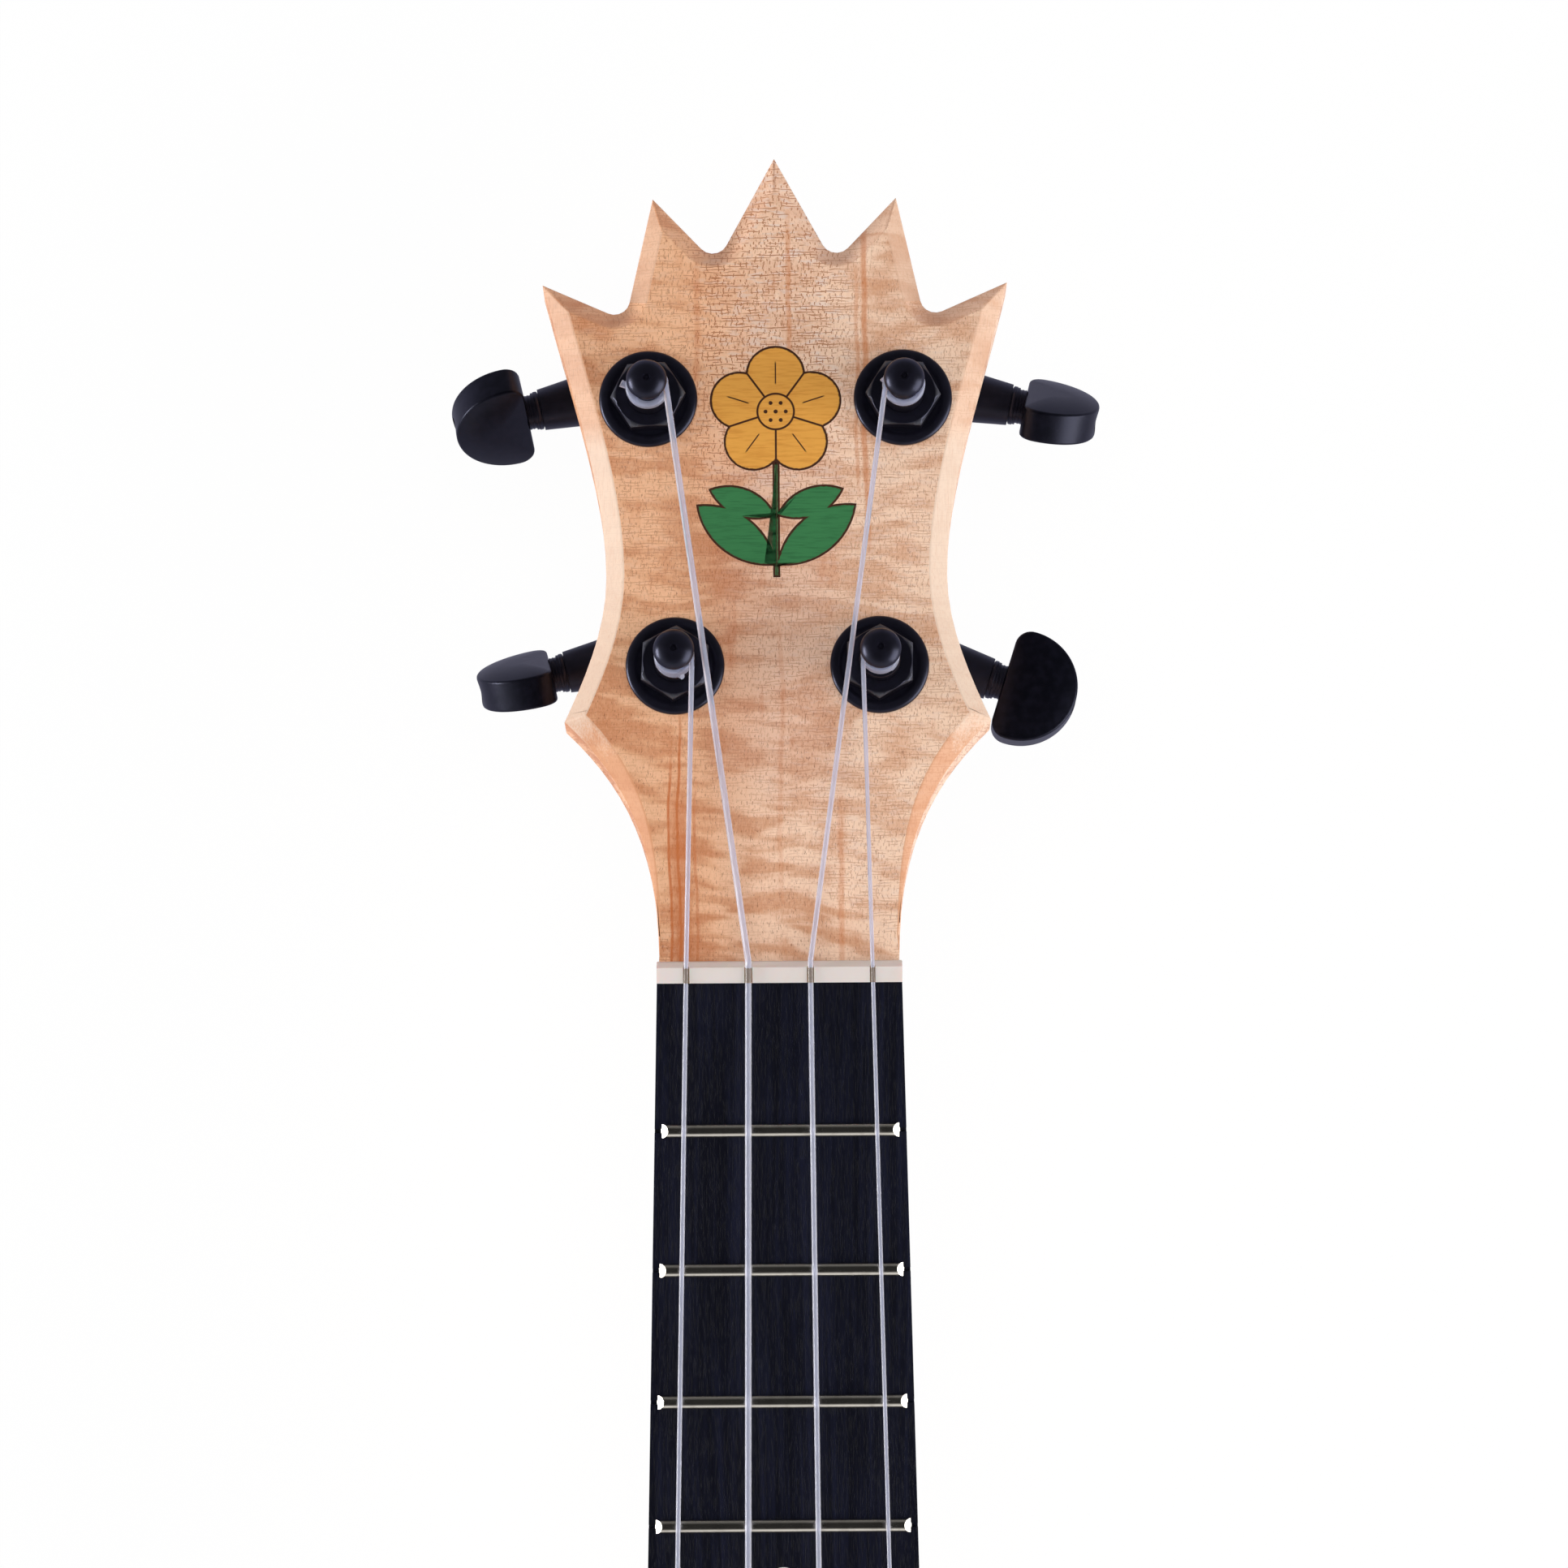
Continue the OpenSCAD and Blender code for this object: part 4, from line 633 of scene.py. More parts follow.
def stained_veneer(name, shade, dark, lines):
    """Stained veneer, burnt along its cut edge and along engraved lines."""
    g = Finish(name)
    x, y, z = g.place()
    grain = g.noise(x * 0.3, y * 3.2, z * 3.2, 3.0, 0.6)
    cloud = g.noise(x * 0.2, y * 0.3, z * 0.3, 2.0)
    base = g.mix(shade, dark, g.step(grain, 0.42, 0.72) * 0.5 + cloud * 0.2)
    ragged = g.noise(x * 2.2, y * 2.2, z * 2.2, 2.0)
    burnt = g.step(g.attribute("burn") + (ragged - 0.5) * 0.5, 0.1, 0.45)
    burnt = g.most(burnt, lines(g, x, y))
    base = g.mix(base, settings().inlay.burn, burnt)
    bump = (grain * 0.4 - burnt, 0.00008, 0.6)
    return g.surface(base, 0.5 + grain * 0.14, bump, {"Specular IOR Level": 0.35})


def flower_lines(g, x, y):
    """Engraved lines: a round heart with seeds, a seam between petals and a vein along each."""
    petals, seeds = 5, 6
    # The flower is this much of its petals' reach wide, and one petal points at the crown.
    radius = half_width("inlay_flower") / 0.9755
    across = x - middle("inlay_flower").x * TO_MM
    up = (y - (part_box("inlay_flower")[1].y - radius * HEAD_UP.y) * TO_MM) / HEAD_UP.y
    reach = (across**2.0 + up**2.0) ** 0.5
    angle = g.math("ARCTAN2", across, up)
    turn = g.math("FRACT", angle * (petals / (2 * math.pi)) + 0.5) - 0.5
    aside = g.math("SINE", turn * (2 * math.pi / petals)) * reach
    heart = g.step(abs(reach - 2.7), 0.2, 0.1)
    seam = g.step(abs(abs(turn) - 0.5) * (2 * math.pi / petals) * reach, 0.2, 0.1)
    seam = seam * g.step(reach, 2.6, 2.8)
    vein = g.step(abs(aside), 0.13, 0.06) * g.step(reach, 4.0, 4.4) * g.step(reach, 7.8, 7.2)
    seed_turn = g.math("FRACT", angle * (seeds / (2 * math.pi))) - 0.5
    seed_aside = g.math("SINE", seed_turn * (2 * math.pi / seeds)) * reach
    seed = g.step((seed_aside**2.0 + (reach - 1.5) ** 2.0) ** 0.5, 0.34, 0.24)
    return g.most(heart, seam, vein, seed, g.step(reach, 0.36, 0.26))


def leaf_lines(g, x, y):
    """The burnt line of the stalk, along the headstock's middle."""
    return g.step(abs(x), 0.12, 0.06) * 0.8


def assign(material, *nodes):
    """Gives CAD nodes one material."""
    for node in nodes:
        materials = NODES[node].data.materials
        materials.clear()
        materials.append(material)


# ---- Mesh tools ----


def add_piece(name, bm, body, material, replaced=(), smooth=35.0):
    """Makes an object of a bmesh, which stands for CAD nodes and rides on a body."""
    mesh = bpy.data.meshes.new(name)
    bm.to_mesh(mesh)
    bm.free()
    mesh.shade_smooth()
    mesh.set_sharp_from_angle(angle=math.radians(smooth))
    mesh.materials.append(material)
    obj = bpy.data.objects.new(name, mesh)
    bpy.context.scene.collection.objects.link(obj)
    obj.modifiers.new("Even shading", "WEIGHTED_NORMAL").keep_sharp = True
    if replaced:
        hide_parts(*replaced)
    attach(obj, body)


def finish_node(node, bm, material, smooth=35.0):
    """Stands a finished piece in the place of a CAD node of the instrument."""
    add_piece(f"{node}_finished", bm, BODY, material, (node,), smooth)


def of_kind(kind, parts):
    """The vertices, edges or faces among some parts of a bmesh."""
    return [part for part in parts if isinstance(part, kind)]


def welded(node, cuts=()):
    """A copy of a CAD node's mesh with its triangles joined and its flat faces whole.

    The cuts, each a point and a normal, part faces that have holes in them.
    """
    bm = bmesh.new()
    bm.from_mesh(NODES[node].data)
    bmesh.ops.remove_doubles(bm, verts=bm.verts, dist=2e-6)
    for point, normal in cuts:
        geom = [*bm.verts, *bm.edges, *bm.faces]
        parted = bmesh.ops.bisect_plane(bm, geom=geom, dist=1e-7, plane_co=point, plane_no=normal)
        for edge in of_kind(bmesh.types.BMEdge, parted["geom_cut"]):
            edge.seam = True
    bmesh.ops.dissolve_limit(
        bm,
        angle_limit=math.radians(0.2),
        verts=bm.verts,
        edges=bm.edges,
        use_dissolve_boundaries=False,
        delimit={"SEAM"},
    )
    return bm


def soften(bm, edges, radius):
    """Rounds edges by a radius."""
    bmesh.ops.bevel(
        bm,
        geom=edges,
        offset=radius,
        offset_type="OFFSET",
        segments=3,
        profile=0.5,
        affect="EDGES",
        clamp_overlap=False,
        material=-1,
    )


def corners(bm, angle=30.0):
    """The edges that turn by more than an angle."""
    limit = math.radians(angle)
    return [e for e in bm.edges if len(e.link_faces) == 2 and e.calc_face_angle(0.0) > limit]


def centre_of(edge):
    return (edge.verts[0].co + edge.verts[1].co) / 2


def spun(profile, steps=96):
    """A closed ring or a body of revolution about z from points of radius and height."""
    bm = bmesh.new()
    verts = [bm.verts.new((r * MM, 0, z * MM)) for r, z in profile]
    edges = [bm.edges.new(pair) for pair in zip(verts, verts[1:])]
    if profile[0][0] > 0 and profile[-1][0] > 0:
        edges.append(bm.edges.new((verts[-1], verts[0])))
    bmesh.ops.spin(
        bm, geom=verts + edges, axis=(0, 0, 1), angle=2 * math.pi, steps=steps, use_merge=True
    )
    bmesh.ops.remove_doubles(bm, verts=bm.verts, dist=1e-7)
    bmesh.ops.recalc_face_normals(bm, faces=bm.faces)
    return bm


def join(whole, part):
    """Adds one bmesh to another and frees it."""
    mesh = bpy.data.meshes.new("part")
    part.to_mesh(mesh)
    part.free()
    whole.from_mesh(mesh)
    bpy.data.meshes.remove(mesh)


def move_to(bm, matrix):
    """Places a bmesh, and turns its faces back out where the frame is mirrored."""
    bmesh.ops.transform(bm, matrix=matrix, verts=bm.verts)
    if matrix.determinant() < 0:
        bmesh.ops.reverse_faces(bm, faces=bm.faces)


def islands(bm):
    """The groups of vertices that hang together, in the order of the mesh."""
    groups, found = [], set()
    for first in bm.verts:
        if first in found:
            continue
        group = [first]
        found.add(first)
        for vert in group:
            for edge in vert.link_edges:
                other = edge.other_vert(vert)
                if other not in found:
                    group.append(other)
                    found.add(other)
        groups.append(group)
    return groups


def carved(bm, tool):
    """A bmesh with the shape of another cut out of it."""
    parts = []
    for part in (bm, tool):
        mesh = bpy.data.meshes.new("carving")
        part.to_mesh(mesh)
        part.free()
        parts.append(bpy.data.objects.new("carving", mesh))
        bpy.context.scene.collection.objects.link(parts[-1])
    cut = parts[0].modifiers.new("Carve", "BOOLEAN")
    cut.object = parts[1]
    cut.operation = "DIFFERENCE"
    cut.solver = "EXACT"
    bm = bmesh.new()
    bm.from_object(parts[0], bpy.context.evaluated_depsgraph_get())
    for part in parts:
        bpy.data.meshes.remove(part.data)
    return bm


# ---- Pieces ----


class UKULELE_OT_sound_box(bpy.types.Operator):
    """Finish the plates, the bent sides and what is inside the sound box"""

    bl_idname = "ukulele.sound_box"
    bl_label = "Sound Box"

    def execute(self, context):
        wood = settings().wood
        plates = figured_wood("figured_plate_wood", 0.2, mirrored=True)
        sides = figured_wood("figured_side_wood", 0.2, sideways=True)
        hole = middle("rosette")
        reach = half_width("rosette") + MM
        for node, top in (("soundboard", 1), ("back_plate", 0)):
            bm = welded(node, [((0, 0, 0), (1, 0, 0))])
            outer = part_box(node)[top].z
            rim = [
                e
                for e in corners(bm)
                if abs(centre_of(e).z - outer) < 1e-5 and (centre_of(e) - hole).xy.length > reach
            ]
            soften(bm, rim, wood.softening * 2)
            finish_node(node, bm, plates)
        for node in ("side_left", "side_right"):
            finish_node(node, welded(node), sides, 25.0)
        inside = spruce_wood()
        assign(inside, "neck_block", "tail_block", "top_linings", "back_linings")
        assign(inside, "top_braces", "back_braces", "bridge_plate")
        assign(rosette_wood(), "rosette")
        return {"FINISHED"}


class UKULELE_OT_bridge(bpy.types.Operator):
    """Finish the bridge and the saddle"""

    bl_idname = "ukulele.bridge"
    bl_label = "Bridge"

    def execute(self, context):
        finish_node("bridge", welded("bridge"), dyed_wood("bridge_wood"))
        finish_node("saddle", welded("saddle"), pressed_bone("saddle_bone"))
        return {"FINISHED"}


class UKULELE_OT_neck(bpy.types.Operator):
    """Finish the neck, the heel cap and the bolt"""

    bl_idname = "ukulele.neck"
    bl_label = "Neck"

    def execute(self, context):
        wood = figured_wood("figured_neck_wood", 0.25)
        finish_node("neck", welded("neck"), wood, 32.0)
        cap = dyed_wood("heel_cap_wood")
        finish_node("heel_cap", welded("heel_cap"), cap, 32.0)
        assign(satin_black("black_bolt", settings().hardware.black, 0.4), "neck_bolt")
        return {"FINISHED"}


class UKULELE_OT_headstock(bpy.types.Operator):
    """Finish the crown headstock with soft creases and sanded bevels that carry painted highlight
    and shade
    """

    bl_idname = "ukulele.headstock"
    bl_label = "Headstock"

    def execute(self, context):
        rows = [pivot(f"post_{letter}_turn")[0] for letter in "gc"]
        rows += [screw_centre(letter) for letter in MACHINES]
        bm = welded("headstock", [(HEAD_ORIGIN, (1, 0, 0)), *((row, HEAD_UP) for row in rows)])
        soften(bm, [e for e in corners(bm, 20.0) if self.on_rim(e)], settings().wood.softening)
        self.mark_bevels(bm)
        wood = figured_wood("figured_head_wood", 0.75, head=True)
        finish_node("headstock", bm, wood, 28.0)
        return {"FINISHED"}

    def mark_bevels(self, bm):
        """Marks the front bevels: those at the sides, and those in the crown, which get end grain
        and painted shade the more they face up.
        """
        deepest, crown_foot = -0.0035, 0.062
        side = bm.faces.layers.float.new("side_bevel")
        crown = bm.faces.layers.float.new("crown_bevel")
        for face in bm.faces:
            out = face.normal.dot(HEAD_NORMAL)
            centre = face.calc_center_median()
            place = centre - HEAD_ORIGIN
            if place.dot(HEAD_NORMAL) < deepest or not 0.3 < out < 0.97:
                continue
            up = face.normal.dot(HEAD_UP)
            rise = up / math.hypot(up, face.normal.x)
            among_points = place.dot(HEAD_UP) > crown_foot
            limit = 0.3 if among_points else 0.85
            face[side] = float(rise < limit and face.normal.x * centre.x > 0)
            face[crown] = among_points * min(1.0, max(0.0, (rise - 0.35) / 0.5))

    def on_rim(self, edge):
        """True along the creases of the front and back bevels, away from holes and points."""
        run = edge.verts[1].co - edge.verts[0].co
        if abs(run.dot(HEAD_NORMAL)) > run.length * 0.7:
            return False
        if (centre_of(edge) - HEAD_ORIGIN).dot(HEAD_UP) < MM:
            return False
        depth = (HEAD_ORIGIN - centre_of(edge)).dot(HEAD_NORMAL)
        outs = sorted(abs(face.normal.dot(HEAD_NORMAL)) for face in edge.link_faces)
        hole = outs[0] < 0.2 and outs[1] > 0.99
        return not hole and outs[1] > 0.2 and not 0.003 < depth < 0.0105


class UKULELE_OT_inlay(bpy.types.Operator):
    """Finish the golden flower and its leaves, burnt along their edges"""

    bl_idname = "ukulele.inlay"
    bl_label = "Inlay"

    def execute(self, context):
        inlay = settings().inlay
        gold = stained_veneer("gold_veneer", inlay.petal, chip(200, 128, 44), flower_lines)
        green = stained_veneer("green_veneer", inlay.leaf, chip(30, 88, 50), leaf_lines)
        for node, slot, veneer in (
            ("inlay_flower", "inlay_gold", gold),
            ("inlay_leaves", "inlay_green", green),
        ):
            bm = welded(node)
            burn = bm.verts.layers.float.new("burn")
            for vert in bm.verts:
                vert[burn] = 1.0
            faces = [f for f in bm.faces if f.normal.dot(HEAD_NORMAL) > 0.9]
            width = inlay.burn_width
            bmesh.ops.inset_region(
                bm, faces=faces, thickness=width, use_even_offset=True, use_boundary=True
            )
            for face in faces:
                for vert in face.verts:
                    vert[burn] = 0.0
            finish_node(node, bm, veneer, 30.0)
        return {"FINISHED"}


class UKULELE_OT_fretboard(bpy.types.Operator):
    """Finish the fretboard, its frets and dots, and the nut"""

    bl_idname = "ukulele.fretboard"
    bl_label = "Fretboard"

    def execute(self, context):
        finish_node("fretboard", welded("fretboard"), dyed_wood("board_wood"))
        metal = drawn_metal("fret_nickel", settings().hardware.nickel, 0.14, 24.0)
        bm = welded("frets")
        for fret in islands(bm):
            self.dress(bm, fret)
        bmesh.ops.recalc_face_normals(bm, faces=bm.faces)
        finish_node("frets", bm, metal, 28.0)
        assign(pressed_bone("dot_bone"), "fret_markers", "side_markers")
        bm = welded("nut")
        self.paint_slot_shade(bm)
        finish_node("nut", bm, pressed_bone("nut_bone"), 30.0)
        return {"FINISHED"}

    def dress(self, bm, fret):
        """Sets a fret in from the board's edges, widens it a little and slopes both its ends."""
        wider, slope_depth = 1.12, 0.001
        end = max(vert.co.x for vert in fret) - settings().hardware.fret_inset
        centre = sum((vert.co for vert in fret), Vector()) / len(fret)
        crown = max(vert.co.z for vert in fret) - slope_depth
        away = Matrix.Translation((0, -centre.y, 0))
        bmesh.ops.scale(bm, verts=fret, vec=(1, wider, 1), space=away)
        parts = dict.fromkeys(
            part for vert in fret for part in (vert, *vert.link_edges, *vert.link_faces)
        )
        for square in ((-1, 0, 0), (1, 0, 0), (-1, 0, 1), (1, 0, 1)):
            cut = bmesh.ops.bisect_plane(
                bm,
                geom=[part for part in parts if part.is_valid],
                plane_co=(square[0] * end, centre.y, crown),
                plane_no=square,
                clear_outer=True,
            )
            rim = of_kind(bmesh.types.BMEdge, cut["geom_cut"])
            cap = bmesh.ops.edgeloop_fill(bm, edges=rim)["faces"]
            parts.update(dict.fromkeys([*cut["geom"], *cap]))

    def paint_slot_shade(self, nut):
        """Marks the walls and floors of the strings' slots in the nut, where shade is painted."""
        slot_shade_layer = nut.faces.layers.float.new("slot_stain")
        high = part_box("nut")[1]
        for face in nut.faces:
            centre = face.calc_center_median()
            inside = abs(face.normal.y) < 0.3 and abs(centre.x) < high.x - 0.2 * MM
            lowered = face.normal.z < 0.85 or centre.z < high.z - 0.4 * MM
            face[slot_shade_layer] = float(inside and lowered and centre.z > high.z - 3 * MM)


class UKULELE_OT_strings(bpy.types.Operator):
    """Finish the strings and lead each one to the side of its post"""

    bl_idname = "ukulele.strings"
    bl_label = "Strings"

    def execute(self, context):
        strings = settings().strings
        milky = nylon("milky_nylon", strings.tint, strings.clearness, 0.2)
        clear = nylon("clear_nylon", strings.tint, strings.thin_clearness, 0.16)
        for letter in MACHINES:
            node = f"string_{letter}"
            bm = welded(node)
            self.reach_post(bm, letter)
            self.mark(bm)
            finish_node(node, bm, milky if letter in THICK else clear, 50.0)
        return {"FINISHED"}

    def mark(self, bm):
        """Marks where a string's sides face left or right, for a painted highlight, and the part
        of it in its slot in the nut, for painted shade.
        """
        low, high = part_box("nut")
        # The string is painted as shaded in the slot, up to this share of the nut's depth.
        shaded_share = 0.72
        front, back = low.y, low.y + (high.y - low.y) * shaded_share
        for y in (front, back):
            geom = [*bm.verts, *bm.edges, *bm.faces]
            bmesh.ops.bisect_plane(bm, geom=geom, plane_co=(0, y, 0), plane_no=(0, 1, 0))
        in_slot = bm.faces.layers.float.new("in_slot")
        for face in bm.faces:
            face[in_slot] = float(front < face.calc_center_median().y < back)
        bm.normal_update()
        flank = bm.verts.layers.float.new("flank")
        # How far each side faces left or right, for the painted highlight on the flanks.
        for vert in bm.verts:
            vert[flank] = abs(vert.normal.x)

    def reach_post(self, bm, letter):
        """Moves a string's end to where it touches its post's waist, under the dome."""
        matrix = machine_matrix(letter)
        inverse = matrix.inverted()
        ring = 12
        rising = sorted(bm.verts, key=lambda vert: -(vert.co - HEAD_ORIGIN).dot(HEAD_UP))
        ends = [inverse @ vert.co for vert in rising[: 2 * ring]]
        end = sum(ends[:ring], Vector()) / ring
        start = sum(ends[ring:], Vector()) / ring
        thickness = 2 * max((point - end).length for point in ends[:ring])
        reach = POST_WAIST * MM + thickness / 2
        angle = math.atan2(start.y, start.x) - math.acos(reach / start.xy.length)
        touch = Vector((reach * math.cos(angle), reach * math.sin(angle), end.z))
        shift = matrix.to_3x3() @ (touch - end)
        bmesh.ops.translate(bm, verts=rising[:ring], vec=shift)


class UKULELE_OT_machines(bpy.types.Operator):
    """Model the washers and string posts, finish the bushings with a painted reflection on their
    chamfers, and finish the gear cases behind them
    """

    bl_idname = "ukulele.machines"
    bl_label = "Tuning Machines"

    def execute(self, context):
        hardware = settings().hardware
        plating = satin_black("black_plating", hardware.black, hardware.black_roughness)
        cast = satin_black("black_case", hardware.black, hardware.black_roughness + 0.08, 0.00002)
        brass = drawn_metal("wheel_brass", hardware.brass, 0.3, 1.0)
        washers = bmesh.new()
        for letter in MACHINES:
            matrix = machine_matrix(letter)
            self.add_washer(washers, matrix)
            self.add_post(letter, matrix, plating)
            self.add_collar(letter, matrix, plating)
            case = f"tuner_housing_{letter}"
            finish_node(case, welded(case), cast, 30.0)
            assign(plating, f"worm_shaft_{letter}", f"button_screw_{letter}")
            assign(brass, f"gear_{letter}")
        add_piece("washers", washers, BODY, plating, ("tuner_washers",))
        bushings = welded("tuner_bushings")
        self.paint_chamfer_sheen(bushings)
        for node, bm in (("tuner_bushings", bushings), ("tuner_screws", welded("tuner_screws"))):
            finish_node(node, bm, plating, 25.0)
        return {"FINISHED"}

    def paint_chamfer_sheen(self, bushings):
        """Marks the chamfers of the hexagons for a painted grey reflection, stronger toward their
        corners.
        """
        rubbed = bushings.loops.layers.float.new("rubbed")
        inverses = [machine_matrix(letter).inverted() for letter in MACHINES]
        for face in bushings.faces:
            if 0.8 < face.normal.dot(HEAD_NORMAL) < 0.95:
                for loop in face.loops:
                    reach = min((inverse @ loop.vert.co).xy.length for inverse in inverses)
                    loop[rubbed] = min(1.0, max(0.0, (reach / MM - HEXAGON_FLAT) / 0.35))

    def add_washer(self, washers, matrix):
        """A pressed washer with a rolled rim round a shallow dish."""
        rolled = [(0.0, 0.3), (0.12, 0.52), (0.4, 0.7), (0.8, 0.84), (1.1, 0.9), (1.35, 0.88)]
        rolled += [(1.6, 0.74), (1.85, 0.68)]
        profile = [(WASHER_HOLE, 0.0), (WASHER_RIM, 0.0)]
        profile += [(WASHER_RIM - inset, height) for inset, height in rolled]
        bm = spun([*profile, (WASHER_HOLE, 0.68)])
        move_to(bm, matrix)
        join(washers, bm)

    def add_post(self, letter, matrix, material):
        """A turned post with a dimpled dome over the waist that holds the string."""
        node = f"post_{letter}"
        low, high = local_box(node, matrix)
        top, cap = high.z, high.x - 0.05
        waist = THICK_WAIST if letter in THICK else THIN_WAIST
        dome = [
            (cap * math.cos(t), top - DOME + DOME * math.sin(t))
            for t in [math.radians(a) for a in range(12, 79, 6)]
        ]
        foot = [(0.0, low.z), (1.6, low.z), (1.8, low.z + 0.2), (1.8, -14.6)]
        barrel = [(2.9, -14.6), (3.0, -14.5), (3.0, waist - 0.4), (2.9, waist - 0.2)]
        neck = [(POST_WAIST, waist), (POST_WAIST, top - 2.4), (cap - 0.35, top - 2.3)]
        dimple = [(0.55, top - 0.04), (0.45, top - 0.2), (0.3, top - 0.5), (0.0, top - 0.55)]
        bm = spun([*foot, *barrel, *neck, *dome, *dimple], 72)
        move_to(bm, matrix)
        add_piece(f"{node}_turned", bm, node, material, (node,), 40.0)

    def add_collar(self, letter, matrix, material):
        """Fine rings on the shaft between the case and the button."""
        start = local_box(f"tuner_housing_{letter}", matrix)[1].x + 0.03
        end = local_box(f"button_{letter}", matrix)[0].x
        profile = [(1.3, start), (2.6, start), (2.6, start + 0.1), (2.85, start + 0.16)]
        profile += [(2.9, start + 0.24), (2.9, start + 0.66), (2.8, start + 0.74)]
        groove = start + 0.8
        while groove < end - 0.3:
            profile += [(2.42, groove), (2.42, groove + 0.1)]
            profile += [(2.6, groove + 0.2), (2.6, groove + 0.36)]
            groove += 0.48
        profile += [(2.4, end), (1.3, end)]
        bm = spun(profile, 64)
        at = matrix.inverted() @ pivot(f"button_{letter}_turn")[0]
        turn = Matrix.Rotation(math.radians(90), 4, "Y")
        move_to(bm, matrix @ Matrix.Translation((0, at.y, at.z)) @ turn)
        add_piece(f"collar_{letter}", bm, f"button_{letter}", material)


class UKULELE_OT_buttons(bpy.types.Operator):
    """Mould the four D-shaped buttons with crowned faces and finely rounded edges"""

    bl_idname = "ukulele.buttons"
    bl_label = "Buttons"

    def execute(self, context):
        hardware = settings().hardware
        shade, roughness = hardware.plastic, hardware.black_roughness + 0.03
        plastic = satin_black("black_plastic", shade, roughness, 0.000015, 0.3)
        for letter in MACHINES:
            node = f"button_{letter}"
            matrix = self.button_matrix(letter)
            bm = self.mould(*local_box(node, matrix))
            move_to(bm, matrix)
            add_piece(f"{node}_moulded", bm, node, plastic, (node,), 50.0)
        return {"FINISHED"}

    def button_matrix(self, letter):
        """The button's own frame: x out along its shaft, z square to its broad faces."""
        place, x = pivot(f"button_{letter}_turn")
        bm = welded(f"button_{letter}")
        z = max(bm.faces, key=lambda face: face.calc_area()).normal.copy()
        bm.free()
        y = z.cross(x).normalized()
        return own_frame(x, y, x.cross(y), place)

    def mould(self, low, high):
        """A D-shaped block between two corners, with a recess for its screw at the round end."""
        hardware = settings().hardware
        crown = hardware.button_crown / MM
        bulge = (high.y - low.y) / 2
        centre = high.x - bulge
        corner = low.x + BUTTON_CORNER
        bend = math.sqrt((bulge - BUTTON_CORNER) ** 2 - (centre - corner) ** 2)
        bm = bmesh.new()
        foot = Vector((centre, 0, low.z + crown)) * MM
        start = Matrix.Translation(foot)
        bmesh.ops.create_circle(bm, segments=96, radius=bulge * MM, matrix=start)
        bmesh.ops.bisect_plane(
            bm,
            geom=[*bm.verts, *bm.edges],
            plane_co=(corner * MM, 0, 0),
            plane_no=(-1, 0, 0),
            clear_outer=True,
        )
        ends = sorted(bm.verts, key=lambda vert: vert.co.x)[:2]
        for end in ends:
            side = math.copysign(1.0, end.co.y)
            round_corner = bmesh.ops.spin(
                bm,
                geom=[end],
                cent=(corner * MM, side * bend * MM, foot.z),
                axis=(0, 0, side),
                angle=math.pi / 2,
                steps=8,
            )
            ends[ends.index(end)] = round_corner["geom_last"][0]
        bm.edges.new(ends)
        lower = list(bm.edges)
        grown = bmesh.ops.extrude_edge_only(bm, edges=lower)["geom"]
        verts = of_kind(bmesh.types.BMVert, grown)
        upper = [edge for edge in bm.edges if edge.verts[0] in verts and edge.verts[1] in verts]
        bmesh.ops.translate(bm, verts=verts, vec=(0, 0, (high.z - low.z - 2 * crown) * MM))
        for rim in (lower, upper):
            bmesh.ops.edgeloop_fill(bm, edges=rim)
        bmesh.ops.recalc_face_normals(bm, faces=bm.faces)
        soften(bm, lower + upper, hardware.edge_radius)
        heart = Vector((low.x + high.x, low.y + high.y, 0)) / 2 * MM
        for face in [face for face in bm.faces if len(face.verts) > 20]:
            self.crown(bm, face, heart, crown)
        return carved(bm, self.recess(high.x))

    def crown(self, bm, face, heart, height):
        """Raises a flat face to a low crown in rings round its middle."""
        rise = math.copysign(height, face.normal.z)
        before, lifted = 1.0, 0.0
        for share in (0.94, 0.85, 0.72, 0.56, 0.38, 0.18):
            face = bmesh.ops.extrude_discrete_faces(bm, faces=[face])["faces"][0]
            bmesh.ops.scale(
                bm,
                verts=face.verts,
                vec=(share / before, share / before, 1),
                space=Matrix.Translation(-heart),
            )
            lift = rise * (1 - share**2.4)
            bmesh.ops.translate(bm, verts=face.verts, vec=(0, 0, (lift - lifted) * MM))
            before, lifted = share, lift

    def recess(self, end):
        """The sunk seat of the small screw at the round end."""
        tool = spun([(0.0, end - 1.6), (1.8, end - 1.6), (1.8, end + 2.0), (0.0, end + 2.0)], 40)
        move_to(tool, Matrix.Rotation(math.radians(90), 4, "Y"))
        return tool


